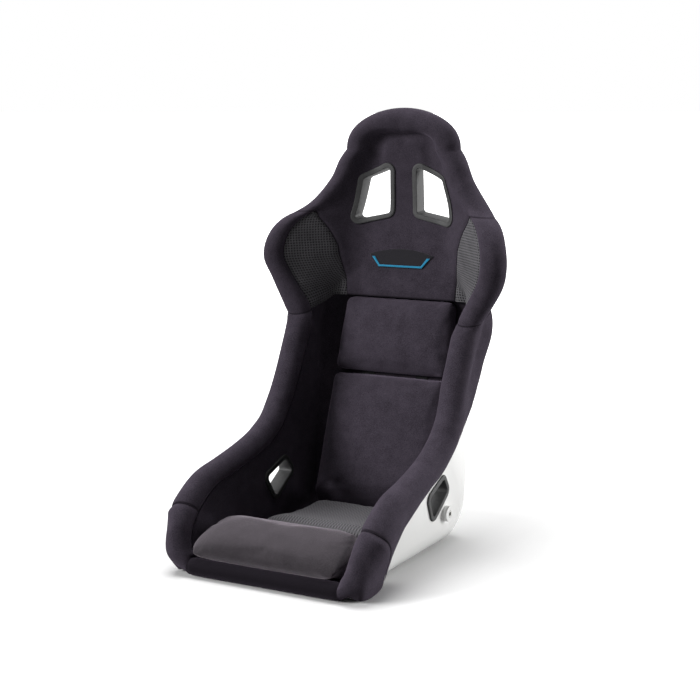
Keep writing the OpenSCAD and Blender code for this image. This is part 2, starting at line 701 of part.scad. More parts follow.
// Part of the seat's layers between two stations, on the left, for the frames that follow them
module patch(from, to, near, far) {
    rows = ribs(from, to);
    grid = function(depth) [for (r = rows) let (c = columns_of(r)) [for (l = c) place(r, l, depth(r, l))]];
    skin(grid(near), grid(far));
}

// Row below, or above, a height on the centre line of the shoulders and the head
function row_at(z, side, s = shoulder_row) =
    s >= neck || along(spine, s)[1] > z ? s + side * row_step : row_at(z, side, s + row_step);
shoulder_row = 16;
patch_margin = 8;

module shoulder_patch(near, far) {
    patch(row_at(shoulder_slot_height - frame_width - patch_margin, -1),
        row_at(shoulder_slot_height + shoulder_slot_tall + frame_width + patch_margin, 0), near, far);
}
module lap_patch(near, far) {
    patch(6, 10.5, near, far);
}

module shoulder_frame() {
    difference() {
        union() {
            intersection() {
                shoulder_patch(function(r, l) cover_face(r, l) + gap, function(r, l) cover_face(r, l) + gap + frame_rise);
                through_back(frame_width);
            }
            intersection() {
                shoulder_patch(function(r, l) -gap - frame_rise, function(r, l) cover_face(r, l) + gap + frame_rise / 2);
                through_back(liner_wall);
            }
        }
        through_back(0);
    }
}
module shoulder_rear_ring() {
    difference() {
        intersection() {
            shoulder_patch(function(r, l) -gap - frame_rise, function(r, l) -gap);
            through_back(frame_width);
        }
        through_back(liner_wall + gap);
    }
}

module lap_frame() {
    difference() {
        union() {
            intersection() {
                lap_patch(function(r, l) -gap - frame_rise, function(r, l) -gap);
                through_side(frame_width);
            }
            intersection() {
                lap_patch(function(r, l) -gap - frame_rise / 2, function(r, l) lining_face(r, l) + gap + frame_rise);
                through_side(liner_wall);
            }
        }
        through_side(0);
    }
}
module lap_inner_ring() {
    difference() {
        intersection() {
            lap_patch(function(r, l) lining_face(r, l) + gap, function(r, l) lining_face(r, l) + gap + frame_rise);
            through_side(frame_width);
        }
        through_side(liner_wall + gap);
    }
}

lining_top = cover_back + lining;
module crotch_frame() {
    difference() {
        union() {
            through_floor(frame_width, lining_top + gap, lining_top + gap + frame_rise);
            through_floor(liner_wall, 2 * gap, lining_top + gap + frame_rise);
        }
        through_floor(0, -1, 50);
    }
}

// ---- Side mounts ---------------------------------------------------------------
mount_places = [mount_rear_place, mount_rear_place - mount_spacing];
mount_half = mix(floor_half, thigh_x, mount_height / thigh_height) + mount_proud;
boss_depth = 21;
boss_inner = mount_half - boss_depth;
insert_end = 2;
module at_mounts() {
    for (y = mount_places)
        translate([0, y, mount_height]) rotate([0, 90, 0]) children();
}
module bosses(grow, from, to) {
    at_mounts() translate([0, 0, from]) cylinder(d = boss + grow, h = to - from);
}
module insert_profile() {
    rotate_extrude() difference() {
        union() {
            translate([0, boss_inner - insert_end]) square([insert_flange / 2, insert_end]);
            translate([0, boss_inner - insert_end])
                square([insert_barrel / 2, mount_half - boss_inner + insert_end]);
        }
        translate([-eps, boss_inner - insert_end - 1])
            square([insert_bore / 2 + eps, mount_half - boss_inner + insert_end + 2]);
    }
}

// ---- Badge ---------------------------------------------------------------------
badge_lift = 1.2;
badge_foot = wing_height - 23;
badge_shoulder = 26;
function badge_outline(inset) =
    let (w = badge_width / 2 - inset * 2.2, f = badge_width / 2 - 23 - inset * 0.6, b = badge_foot + inset,
        m = badge_foot + badge_shoulder - inset * 0.5, rise = badge_height - badge_shoulder - inset)
    [[f, b], [w, m], each [for (k = [1 : 7]) let (t = k / 8) [w * (1 - 2 * t), m + rise * 4 * t * (1 - t)]],
        [-w, m], [-f, b]];
module badge_prism(inset) {
    translate([0, head_depth, 0]) rotate([90, 0, 0]) linear_extrude(80) polygon(badge_outline(inset));
}
module badge_layer(from, to) {
    rows = ribs(row_at(badge_foot - patch_margin, -1), row_at(badge_foot + badge_height + patch_margin, 0));
    grid = function(d) both_sides([for (r = rows) [for (l = cover_lengths(r)) place(r, l, cover_face(r, l) + d)]]);
    skin(grid(from), grid(to));
}

// ---- Pieces --------------------------------------------------------------------
module shell() {
    color(white) difference() {
        union() {
            shell_skin(0, shell_wall);
            both() bosses(0, boss_inner, mount_half);
        }
        both() {
            through_back(liner_wall + gap);
            through_side(liner_wall + gap);
            at_mounts() translate([0, 0, boss_inner - 1]) cylinder(d = insert_barrel + 2 * gap, h = 40);
        }
        through_floor(liner_wall + gap, -1, 50);
    }
}

module seat_lining() {
    color(dark) difference() {
        layer(lining_start, shoulder_seam - seam_share,
            function(r, l) cover_back, function(r, l) lining_face(r, l), gap);
        both() {
            through_side(liner_wall + gap);
            bosses(2, boss_inner - insert_end - 1, mount_half);
        }
        through_floor(liner_wall + gap, -1, 50);
    }
}

module threaded_inserts() {
    color(metal) both() at_mounts() insert_profile();
}

module torso_bolster_left() {
    color(black) difference() {
        roll(front_seam + seam_share, shoulder_seam - seam_share);
        bosses(5, boss_inner, mount_half + 60);
    }
}
module torso_bolster_right() {
    mirror([1, 0, 0]) torso_bolster_left();
}

module nose_left() {
    color(black) difference() {
        nose();
        bosses(5, boss_inner, mount_half + 60);
    }
}
module nose_right() {
    mirror([1, 0, 0]) nose_left();
}

module wing_bolster_left() {
    color(black) roll(shoulder_seam + seam_share, wing_top - seam_share);
}
module wing_bolster_right() {
    mirror([1, 0, 0]) wing_bolster_left();
}

module wing_panel_left() {
    color(mesh_grey) wing_panel();
}
module wing_panel_right() {
    mirror([1, 0, 0]) wing_panel_left();
}

module head_cover() {
    color(black) difference() {
        head_cover_skin();
        both() through_back(liner_wall + gap);
    }
}

module front_roll() {
    color(black) rotate([90, 0, 90]) linear_extrude(front_roll_width, center = true) front_roll_shape();
}

module back_pad_upper() {
    color(black) back_pad(pad_joint_height + gap, pad_top_height, 12, 16, 0);
}
module back_pad_lower() {
    color(black) back_pad(pad_foot_height, pad_joint_height - gap, 26, 12, pad_ledge);
}
module seat_cushion() {
    color(mesh_grey) cushion(seat_cushion_rows(), 6, 14);
}
module leg_cushion() {
    color(black) cushion(leg_cushion_rows(), 12, 18);
}

module back_hook_strips() {
    color(dark) both() strip(11, 15.4);
}
module seat_hook_strips() {
    color(dark) both() {
        strip(0.5, 2);
        strip(4.7, 8);
    }
}

module shoulder_slot_frame_left() {
    color(plastic) shoulder_frame();
}
module shoulder_slot_frame_right() {
    mirror([1, 0, 0]) shoulder_slot_frame_left();
}
module shoulder_slot_ring_left() {
    color(plastic) shoulder_rear_ring();
}
module shoulder_slot_ring_right() {
    mirror([1, 0, 0]) shoulder_slot_ring_left();
}
module lap_slot_frame_left() {
    color(plastic) lap_frame();
}
module lap_slot_frame_right() {
    mirror([1, 0, 0]) lap_slot_frame_left();
}
module lap_slot_ring_left() {
    color(plastic) lap_inner_ring();
}
module lap_slot_ring_right() {
    mirror([1, 0, 0]) lap_slot_ring_left();
}
module crotch_slot_frame() {
    color(plastic) crotch_frame();
}

module badge_patch() {
    color(black) intersection() {
        badge_layer(gap, gap + badge_lift);
        badge_prism(0);
    }
}
module badge_trim() {
    color(blue) difference() {
        intersection() {
            badge_layer(2 * gap + badge_lift, 2 * gap + 2 * badge_lift);
            badge_prism(2);
            translate([-badge_width, 0, badge_foot]) cube([2 * badge_width, 400, badge_shoulder - 3]);
        }
        badge_prism(6);
    }
}

shell();
seat_lining();
threaded_inserts();
torso_bolster_left();
torso_bolster_right();
nose_left();
nose_right();
wing_bolster_left();
wing_bolster_right();
wing_panel_left();
wing_panel_right();
head_cover();
front_roll();
back_pad_upper();
back_pad_lower();
seat_cushion();
leg_cushion();
back_hook_strips();
seat_hook_strips();
shoulder_slot_frame_left();
shoulder_slot_frame_right();
shoulder_slot_ring_left();
shoulder_slot_ring_right();
lap_slot_frame_left();
lap_slot_frame_right();
lap_slot_ring_left();
lap_slot_ring_right();
crotch_slot_frame();
badge_patch();
badge_trim();
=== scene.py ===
"""Looks of the bucket seat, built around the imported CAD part."""

import math

import bmesh
import bpy
import numpy as np
from mathutils import Matrix, Vector


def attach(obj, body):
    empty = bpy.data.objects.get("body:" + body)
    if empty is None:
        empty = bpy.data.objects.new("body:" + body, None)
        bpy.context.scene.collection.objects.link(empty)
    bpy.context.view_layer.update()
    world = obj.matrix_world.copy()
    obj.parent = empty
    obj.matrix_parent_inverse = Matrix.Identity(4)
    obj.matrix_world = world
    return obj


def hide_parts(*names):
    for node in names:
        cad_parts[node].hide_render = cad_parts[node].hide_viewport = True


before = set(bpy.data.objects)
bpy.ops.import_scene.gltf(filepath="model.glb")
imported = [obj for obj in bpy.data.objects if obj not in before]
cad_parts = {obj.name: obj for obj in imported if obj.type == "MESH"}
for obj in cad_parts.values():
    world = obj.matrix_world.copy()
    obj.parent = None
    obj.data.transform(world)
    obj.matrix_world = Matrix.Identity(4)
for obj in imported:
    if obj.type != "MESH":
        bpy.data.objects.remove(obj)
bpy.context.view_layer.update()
MM = 0.001

# ---- The seat's lines, in millimetres, as in the part's source ------------------
LIP_REACH, LIP_HEIGHT, LIP_HALF = 284, 15, 160
HEAD_DEPTH, HEAD_CENTRE, HEAD_DISH, CROWN = 301, 748, 39, 806
HEAD_SIDE, HEAD_CORNER, HEAD_POWER, CROWN_RISE = 27, 34, 2.3, 8
THIGH_X, TORSO_X, WING_X, HEAD_X, FLOOR = 204, 190, 246, 102, 182
THIGH_Z, SHOULDER_Z, WING_Z, HEEL, WING_REACH = 160, 442, 534, 184, 130
WALL, GAP, ROLL, SKIRT, SEAM_DROP = 4.0, 0.3, 26.0, 5.0, 12.0
LINING, SIDE_LINING, COVER = 9.0, 20.0, 34.0
MOUNT_X, MOUNT_Y, MOUNT_Z = 196.625, (66, -224), 70
COVER_BACK = WALL + GAP
ROLL_SEAT = WALL / 2 + math.sqrt(ROLL**2 - SEAM_DROP**2)

# Ribs are numbered from the lip to the top of the head, and these stand at seams and turns.
FRONT_SEAM, STITCH, SHOULDER_SEAM = 3.0, 3.6, 15.75
PANEL_TOP, WING_TOP, NECK, FAN = 20.35, 20.5, 24, 4
SEAM_CUT = 0.004

# SPINE: each rib's y and z on the middle line, its half width and corner.
# EDGE: x, y and z of each rib's outer end.
SPINE = np.array([
    [-LIP_REACH, LIP_HEIGHT, LIP_HALF - 8, 4],
    [-205, 2, FLOOR - 14, 30],
    [-175, 0, FLOOR - 8, 40],
    [-150, 0, FLOOR - 4, 46],
    [-120, 0, FLOOR - 2, 50],
    [-80, 0, FLOOR - 1, 50],
    [-30, 0, FLOOR, 50],
    [25, 0, FLOOR, 50],
    [80, 0, FLOOR, 50],
    [130, 3, FLOOR - 2, 52],
    [HEEL - 16, 36, FLOOR, 55],
    [HEEL, 95, FLOOR, 55],
    [HEEL + 9, 165, FLOOR - 2, 55],
    [212, 240, TORSO_X - 9, 55],
    [237, 320, TORSO_X + 5, 55],
    [262, SHOULDER_Z - 46, TORSO_X + 18, 55],
    [HEAD_DEPTH - 27, SHOULDER_Z + 18, TORSO_X - 5, 52],
    [HEAD_DEPTH - 21, WING_Z - 30, TORSO_X - 58, 50],
    [HEAD_DEPTH - 15, WING_Z, TORSO_X - 74, 50],
    [HEAD_DEPTH - 8, WING_Z + 42, TORSO_X - 80, 50],
    [HEAD_DEPTH - 3, WING_Z + 75, TORSO_X - 80, 46],
    [HEAD_DEPTH, WING_Z + 106, TORSO_X - 84, 44],
    [HEAD_DEPTH, HEAD_CENTRE - 62, HEAD_X - 11, 40],
    [HEAD_DEPTH, HEAD_CENTRE - 21, HEAD_X - 22, 36],
    [HEAD_DEPTH - 1, HEAD_CENTRE, HEAD_X - HEAD_SIDE, HEAD_CORNER],
], float)
EDGE = np.array([
    [LIP_HALF + GAP, -LIP_REACH - 0.2, LIP_HEIGHT + 0.9],
    [THIGH_X - 18, -LIP_REACH + 4, 30],
    [THIGH_X - 7, -LIP_REACH + 9, 54],
    [THIGH_X - 2, -LIP_REACH + 26, 88],
    [THIGH_X, -222, THIGH_Z - 40],
    [THIGH_X, -172, THIGH_Z - 13],
    [THIGH_X - 2, -112, THIGH_Z - 1],
    [THIGH_X - 5, -55, THIGH_Z + 12],
    [TORSO_X + 6, -5, THIGH_Z + 28],
    [TORSO_X + 4, 38, THIGH_Z + 52],
    [TORSO_X + 4, 66, THIGH_Z + 81],
    [TORSO_X + 2, 86, 271.9],
    [TORSO_X, 103, 304.9],
    [TORSO_X, 124, 342.9],
    [TORSO_X, 146, 385],
    [TORSO_X + 2, 158, 407.9],
    [TORSO_X + 10, 167, SHOULDER_Z - 8],
    [WING_X - 14, HEAD_DEPTH - WING_REACH + 1, WING_Z - 42],
    [WING_X, HEAD_DEPTH - WING_REACH - 8, WING_Z],
    [WING_X - 6, HEAD_DEPTH - WING_REACH, WING_Z + 42],
    [WING_X - 26, HEAD_DEPTH - WING_REACH + 22, WING_Z + 75],
    [HEAD_X + 74, HEAD_DEPTH - HEAD_DISH - 28, WING_Z + 106],
    [HEAD_X + 35, HEAD_DEPTH - HEAD_DISH - 11, HEAD_CENTRE - 62],
    [HEAD_X + 15, HEAD_DEPTH - HEAD_DISH - 4, HEAD_CENTRE - 21],
    [HEAD_X, HEAD_DEPTH - HEAD_DISH, HEAD_CENTRE],
], float)


def unit(v):
    return v / np.linalg.norm(v)


def clamp(t):
    return np.clip(t, 0.0, 1.0)


def blend(p, q, r, w, t):
    """Point at share t of the way from q to r on the smooth curve through p, q, r and w."""
    return 0.5 * (2 * q + (r - p) * t + (2 * p - 5 * q + 4 * r - w) * t**2 + (3 * q - p - 3 * r + w) * t**3)


def along(rows, s):
    """Values of a table at a place between its rows."""
    n = len(rows) - 1
    if s < 1:
        return rows[0] + (rows[1] - rows[0]) * s
    i = min(int(s), n - 1)
    return blend(rows[i - 1], rows[i], rows[i + 1], rows[min(i + 2, n)], s - i)


def at(line, s, column=1):
    """Straight-line value of a table whose first column is the rib."""
    return np.interp(s, line[:, 0], line[:, column])


def bisect(low, high, below):
    """Place where a test that holds at the low end stops holding."""
    for _ in range(24):
        middle = (low + high) / 2
        if below(middle):
            low = middle
        else:
            high = middle
    return (low + high) / 2


class Rib:
    """One cross-line of the seat's surface: flat floor, rounded corner, straight wall."""

    def __init__(self, s):
        self.s = s
        if s <= NECK:
            c, e = along(SPINE, s), along(EDGE, s)
            t = along(SPINE, min(s + 0.05, NECK)) - along(SPINE, max(s - 0.05, 0))
            d = np.array([0, e[1] - c[0], e[2] - c[1]])
            self.o = np.array([0, c[0], max(c[1], 0)])
            self.p = np.array([1.0, 0, 0])
            self.d, self.n = unit(d), unit(np.array([0, -t[1], t[0]]))
            self.half, self.corner, self.out, self.up = c[2], c[3], e[0], np.linalg.norm(d)
        else:
            share = (s - NECK) / FAN
            turn = math.radians(90 * share)
            a = (max(math.cos(turn), 1e-9) / HEAD_X) ** HEAD_POWER
            b = (math.sin(turn) / (CROWN - HEAD_CENTRE)) ** HEAD_POWER
            reach = (a + b) ** (-1 / HEAD_POWER)
            self.o = np.array([0.0, HEAD_DEPTH - 1, HEAD_CENTRE])
            self.p = np.array([math.cos(turn), 0, math.sin(turn)])
            self.d = self.n = np.array([0, -1.0, 0])
            self.half, self.corner, self.out = reach * (HEAD_X - HEAD_SIDE) / HEAD_X, HEAD_CORNER, reach
            self.up = HEAD_DISH - 1 - CROWN_RISE * share
        run = np.array([self.out - self.half, self.up])
        size = np.linalg.norm(run)
        self.u = run / size
        self.cin, self.cout = min(self.corner, 0.9 * self.half), min(self.corner, 0.7 * size)
        self.flat = self.half - self.cin
        chord = np.linalg.norm(np.array([self.cin, 0]) + self.u * self.cout)
        self.bend = (2 * chord + self.cin + self.cout) / 3
        self.length = self.flat + self.bend + size - self.cout
        self.seam = max(self.length - SEAM_DROP, self.flat + self.bend + 1)

    def place(self, l, depth):
        """Points at lengths l from the centre line and depths inside the outer face."""
        l = np.atleast_1d(np.asarray(l, float))
        depth = np.broadcast_to(np.asarray(depth, float), l.shape)
        a, b = self.flat, self.bend
        q = np.array([self.half, 0])
        t = np.clip((l - a) / b, 0, 1)[:, None]
        m = np.array([a, 0]) * (1 - t) + q * t
        k = q * (1 - t) + (q + self.u * self.cout) * t
        curve = m * (1 - t) + k * t
        way = k - m
        way /= np.linalg.norm(way, axis=1)[:, None]
        flat, wall = l <= a, l >= a + b
        curve[flat] = np.c_[l[flat], np.zeros(flat.sum())]
        way[flat] = (1, 0)
        curve[wall] = q + self.u * (self.cout + (l[wall] - a - b))[:, None]
        way[wall] = self.u
        return (
            self.o
            + self.p * (curve[:, :1] - way[:, 1:] * depth[:, None])
            + self.d * curve[:, 1:]
            + self.n * (way[:, :1] * depth[:, None])
        )


_ribs = {}


def rib(s):
    key = round(float(s), 5)
    if key not in _ribs:
        _ribs[key] = Rib(key)
    return _ribs[key]


def lining_face(r, l):
    """Depth of the lining's face: thicker on the side walls."""
    return COVER_BACK + LINING + (SIDE_LINING - LINING) * clamp((l - r.flat) / r.bend)


def cover_face(r, l):
    """Depth of the cover's face: thins out to the roll's seat at the seam."""
    k = clamp((l - r.flat) / (r.seam - r.flat))
    return (COVER_BACK + COVER) * (1 - k) + ROLL_SEAT * k


def rows_between(a, b, step):
    n = max(2, int(round((b - a) / step)) + 1)
    return np.linspace(a, b, n)


# ---- Meshes from grids ----------------------------------------------------------
NO_SEAM = 99.0


def mesh_object(name, verts, faces, uv=None, layers=None):
    mesh = bpy.data.meshes.new(name)
    mesh.from_pydata([tuple(v) for v in np.asarray(verts) * MM], [], faces)
    if uv is not None:
        layer = mesh.uv_layers.new(name="cloth")
        loops = np.zeros(len(mesh.loops), np.int64)
        mesh.loops.foreach_get("vertex_index", loops)
        layer.data.foreach_set("uv", np.asarray(uv, np.float32)[loops].ravel() * MM)
    for key, values in (layers or {}).items():
        attribute = mesh.attributes.new(key, "FLOAT", "POINT")
        attribute.data.foreach_set("value", np.asarray(values, np.float32))
    obj = bpy.data.objects.new(name, mesh)
    bpy.context.scene.collection.objects.link(obj)
    return obj


def clean(obj, sharp=38):
    """Welds a mesh, turns its faces outward and shades it smooth but for sharp edges."""
    bm = bmesh.new()
    bm.from_mesh(obj.data)
    bmesh.ops.remove_doubles(bm, verts=bm.verts, dist=0.02 * MM)
    bmesh.ops.dissolve_degenerate(bm, dist=0.005 * MM, edges=bm.edges)
    bmesh.ops.recalc_face_normals(bm, faces=bm.faces)
    for f in bm.faces:
        f.smooth = True
    limit = math.radians(sharp)
    for e in bm.edges:
        e.smooth = not (len(e.link_faces) == 2 and e.calc_face_angle(0) > limit)
    bm.to_mesh(obj.data)
    bm.free()
    return obj


def arc(points):
    """Running length along a row of points."""
    step = np.linalg.norm(np.diff(points, axis=0), axis=1)
    return np.r_[0, np.cumsum(step)]


def skin(name, outer, inner, kept=None, close_ends=True, layers=None, sharp=38):
    """Closed mesh between two grids of the same size."""
    outer, inner = np.asarray(outer, float), np.asarray(inner, float)
    n, w = outer.shape[:2]
    index = np.arange(n * w).reshape(n, w)
    back = index + n * w
    keep = np.ones((n - 1, w - 1), bool) if kept is None else kept
    faces = []
    for i in range(n - 1):
        for j in range(w - 1):
            if not keep[i, j]:
                continue
            a, b, c, d = index[i, j], index[i, j + 1], index[i + 1, j + 1], index[i + 1, j]
            e, f, g, h = back[i, j], back[i, j + 1], back[i + 1, j + 1], back[i + 1, j]
            faces.append((a, b, c, d))
            faces.append((h, g, f, e))
            if j == 0 or not keep[i, j - 1]:
                faces.append((d, h, e, a))
            if j == w - 2 or not keep[i, j + 1]:
                faces.append((b, f, g, c))
            if i == 0 or not keep[i - 1, j]:
                faces.append((a, e, f, b))
            if (i == n - 2 and close_ends) or (i < n - 2 and not keep[i + 1, j]):
                faces.append((c, g, h, d))
    mid = w // 2
    u = arc(outer[:, mid])
    v = np.stack([arc(row) for row in outer])
    v -= v[:, mid : mid + 1]
    uv = np.stack([np.broadcast_to(u[:, None], (n, w)), v], -1).reshape(-1, 2)
    extra = {}
    for key, values in (layers or {}).items():
        extra[key] = np.r_[np.asarray(values, float).ravel(), np.full(n * w, NO_SEAM)]
    obj = mesh_object(name, np.r_[outer.reshape(-1, 3), inner.reshape(-1, 3)], faces, np.r_[uv, uv], extra)
    return clean(obj, sharp)


def mirror_rows(grid):
    """Adds the right half to a grid whose first column lies on the centre line."""
    grid = np.asarray(grid, float)
    other = grid[:, :0:-1] * np.array([-1, 1, 1])
    return np.concatenate([other, grid], 1)


def mirrored(obj, name):
    """The piece's mirror image on the right."""
    mesh = obj.data.copy()
    mesh.transform(Matrix.Scale(-1, 4, Vector((1, 0, 0))))
    mesh.flip_normals()
    mesh.name = name
    twin = bpy.data.objects.new(name, mesh)
    bpy.context.scene.collection.objects.link(twin)
    return twin


def rounded(points, radius, grow=0.0, steps=8):
    """Outline with rounded corners, anticlockwise; a grown outline keeps its corners' centres."""
    out = []
    points = [np.array(p, float) for p in points]
    for i, p in enumerate(points):
        a = unit(points[i - 1] - p)
        b = unit(points[(i + 1) % len(points)] - p)
        half = math.acos(a @ b) / 2
        centre = p + unit(a + b) * radius / math.sin(half)
        start = math.atan2(-(a + b)[1], -(a + b)[0]) - (math.pi / 2 - half)
        for k in range(steps + 1):
            t = start + 2 * (math.pi / 2 - half) * k / steps
            out.append(centre + (radius + grow) * np.array([math.cos(t), math.sin(t)]))
    return np.array(out)


def block(verts, n, split=False):
    """Cutter between two outlines of n points each."""
    faces = [tuple(range(n)), tuple(range(2 * n - 1, n - 1, -1))]
    faces += [(i, (i + 1) % n, n + (i + 1) % n, n + i) for i in range(n)]
    obj = mesh_object("cutter", verts, faces)
    bm = bmesh.new()
    bm.from_mesh(obj.data)
    bmesh.ops.recalc_face_normals(bm, faces=bm.faces)
    if split:
        bmesh.ops.triangulate(bm, faces=bm.faces)
    bm.to_mesh(obj.data)
    bm.free()
    return obj


def prism(outline, axis, low, high):
    """Cutter: an outline in the plane across an axis, from low to high along it."""
    order = {"x": (2, 0, 1), "z": (0, 1, 2)}[axis]
    verts = [[(a, b, h)[k] for k in order] for h in (low, high) for a, b in outline]
    return block(verts, len(outline))


def rod(p, q, y, radius, steps=48):
    """Round bar on the axis of a mount, between two places along it."""
    a = np.linspace(0, 2 * math.pi, steps, endpoint=False)
    return prism(np.c_[y + radius * np.cos(a), MOUNT_Z + radius * np.sin(a)], "x", min(p, q), max(p, q))


def mount_rods(near, far, radius, steps=48):
    """Round bars on all four mounts, from near to far off the middle."""
    return [rod(p, q, y, radius, steps) for y in MOUNT_Y for p, q in ((near, far), (-near, -far))]


def boolean(obj, cutters, kind="DIFFERENCE"):
    for c in cutters:
        m = obj.modifiers.new("cut", "BOOLEAN")
        m.operation, m.object, m.solver = kind, c, "MANIFOLD"
    bake(obj)
    for c in cutters:
        bpy.data.objects.remove(c)
    return clean(obj)


def bake(obj):
    """Applies an object's modifiers."""
    bpy.context.view_layer.update()
    mesh = bpy.data.meshes.new_from_object(obj.evaluated_get(bpy.context.evaluated_depsgraph_get()))
    obj.modifiers.clear()
    obj.data = mesh
    return obj


def place_piece(obj, nodes, material):
    """Hands a finished piece to the frame."""
    obj.data.materials.clear()
    obj.data.materials.append(material)
    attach(obj, "root")
    if nodes:
        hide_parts(*nodes)
    return obj


def place_pair(obj, name, material):
    """Hands over a finished left piece and its mirror image."""
    place_piece(obj, [name + "_left"], material)
    twin = mirrored(obj, name + "_piece_right")
    place_piece(twin, [name + "_right"], material)


# ---- Rolls round the edge --------------------------------------------------------
NOSE_FOOT, NOSE_BULGE, NOSE_PASSES, SKIRT_GAP = 0.6, 7.0, 70, 0.6
SMOOTH_RIBS, SMOOTH_SHARES, LIP_SKIRT = (0.0, 0.35, 2.6, 3.3), (0, 0.6, 0.6, 0), 0.35
FLANK_PULL, FOOT_PULL, FOOT_FADE = 0.42, 0.4, 2.2
TURNS = np.radians(np.linspace(-math.degrees(math.asin(SEAM_DROP / ROLL)), 170, 24))
TURN_SHARE = (TURNS - TURNS[0]) / (TURNS[-1] - TURNS[0])
ROLL_TUCK, TUCK_SPAN, ROLL_ARC, SKIRT_STEPS, FLANK_STEPS, FLANK_TURNS = 2.2, 5.0, 115, 14, 20, 12
SKIRT_PULL, HEM_PULL, HEM_RISE, HEM_FROM, HEM_SPAN = 0.3, (0.34, -0.1), 2.6, 0.84, 0.16
PLAIN_TURN, PLAIN_FALL, BACK_STEPS = 0.62, (0.55, 0.25, 0.08), 9

# Millimetres along the roll per step of the rib numbers, near its crosswise seams.
ROLL_PACE, LIP_PACE, COVER_PACE, HEAD_PACE = 36.0, 45.0, 34.0, 32.0

# Rib, then the foot's x and y past the thigh's side and the lip, and its height.
FOOT_LINE = np.array([[0.4, -24, 0, 1], [1, -10, 0, 3], [1.5, -5, 8, 2], [2, -2, 20, 1],
                      [2.5, -3, 48, 0.6], [3, -8, 78, 0.6], [6, -40, 170, 0.6]], float)

# Rib, then how far the roll's cloth runs down the outside of the shell.
WRAP_LINE = np.array([[3, 126], [3.5, 112], [4, 97], [4.5, 85], [5, 77], [5.5, 66], [6, 56], [6.5, 49],
                      [7, 45], [7.5, 43], [8, 45], [8.5, 49], [9, 51], [9.5, 54], [10, 59], [10.5, 65],
                      [11, 73], [11.5, 82], [12, 92], [12.5, 101], [13, 108], [13.5, 112], [14, 110],
                      [15, 100], [15.75, 92], [17.5, 66], [18.5, 46]], float)

# Rib, then how much of the cloth hangs in a drape instead of following the shell.
DRAPE_LINE = np.array([[11, 1], [12, 0.85], [13, 0.5], [14, 0.2], [15, 0.2], [15.75, 0.7], [16.5, 1]], float)


def tail(r):
    """How far the roll's cloth runs down the outside of the shell."""
    if r.s < FRONT_SEAM:
        return r.length - r.flat - 0.6 * r.bend
    return at(WRAP_LINE, r.s)


def bezier(a, b, c, d, t):
    t = t[:, None]
    return a * (1 - t) ** 3 + 3 * b * t * (1 - t) ** 2 + 3 * c * t**2 * (1 - t) + d * t**3


def roll_rows(r, reach=None, puff=0.0):
    """Front and back outlines of the roll on one rib: a round of foam, its cloth draped down the shell."""
    t = tail(r) if reach is None else reach
    swell = ROLL * (1 - puff)
    tuck = (ROLL_TUCK if r.s < WING_TOP else 0) * np.exp(-((TURN_SHARE * ROLL_ARC / TUCK_SPAN) ** 2))
    x = swell * np.sin(TURNS) - (ROLL - swell) * 0.2
    y = WALL / 2 + swell * np.cos(TURNS) - tuck
    start = np.array([x[-1], y[-1]])
    end = np.array([-t, -SKIRT - SKIRT_GAP])
    far = np.linalg.norm(end - start)
    way = np.array([math.cos(TURNS[-1]), -math.sin(TURNS[-1])])
    f = np.linspace(1 / SKIRT_STEPS, 1, SKIRT_STEPS)
    skirt = bezier(start, start + way * far * SKIRT_PULL, end + far * np.array(HEM_PULL), end, f)
    w = at(DRAPE_LINE, r.s)
    plain = np.c_[-ROLL * PLAIN_TURN * (1 - f) - t * f, np.full(len(f), end[1])]
    plain[:3, 1] += (start[1] - end[1]) * np.array(PLAIN_FALL)
    skirt = skirt * w + plain * (1 - w)
    skirt[:, 1] += HEM_RISE * clamp((f - HEM_FROM) / HEM_SPAN) ** 2
    front = np.r_[np.c_[x, y], skirt]
    n1, n2 = BACK_STEPS, len(front) - BACK_STEPS - 3
    b1 = np.c_[np.linspace(-SEAM_DROP, GAP, n1), np.full(n1, COVER_BACK)]
    b2 = np.array([[GAP, WALL / 2], [GAP, -GAP], [-SEAM_DROP * 0.5, -GAP]])
    g = np.linspace(0, 1, n2)
    b3 = np.c_[-SEAM_DROP * (1 - g) - t * g, np.full(n2, -SKIRT_GAP)]
    return front, np.r_[b1, b2, b3]


def above_floor(points):
    """Lifts points that dip below the foot of the nose."""
    points[..., 2] = np.maximum(points[..., 2], NOSE_FOOT)
    return points


def foot_share(r):
    """How far the roll's outside turns from the shell to the foot of the nose."""
    return 0.0 if r.s > NECK else 1 - clamp((r.s - FRONT_SEAM) / FOOT_FADE)


def roll_points(r, outline, outside):
    """An outline of the roll in space: its outside runs down to the foot near the nose."""
    pts = r.place(r.length + outline[:, 0], outline[:, 1])
    share = foot_share(r)
    if outside and share > 0:
        f = np.linspace(1 / FLANK_STEPS, 1, FLANK_STEPS)
        top = pts[-FLANK_STEPS - 1].copy()
        way = unit(top - pts[-FLANK_STEPS - 2])
        x, y, z = (at(FOOT_LINE, r.s, k) for k in (1, 2, 3))
        foot = np.array([THIGH_X + x, y - LIP_REACH, z])
        far = np.linalg.norm(foot - top)
        pull = foot + [NOSE_BULGE, 0, far * FOOT_PULL]
        flank = bezier(top, top + way * far * FLANK_PULL, pull, foot, f)
        pts[-FLANK_STEPS:] = pts[-FLANK_STEPS:] * (1 - share) + flank * share
    return above_floor(pts)


def drawn_in(distance, deep=0.05, span=5.0):
    """Share by which a roll draws in at a distance from a crosswise seam."""
    return deep * math.exp(-((distance / span) ** 2))


def end_tuck(s, a, b):
    """How much a roll draws in beside the crosswise seams at its two ends."""
    out = 0.0
    for e in (a, b):
        before, after = rib(max(e - 0.02, 0)), rib(min(e + 0.02, NECK + FAN))
        length = rib(e).length
        pace = np.linalg.norm(after.place(length, 0)[0] - before.place(length, 0)[0]) / 0.04
        out = max(out, drawn_in((s - e) * max(pace, 1)))
    return out


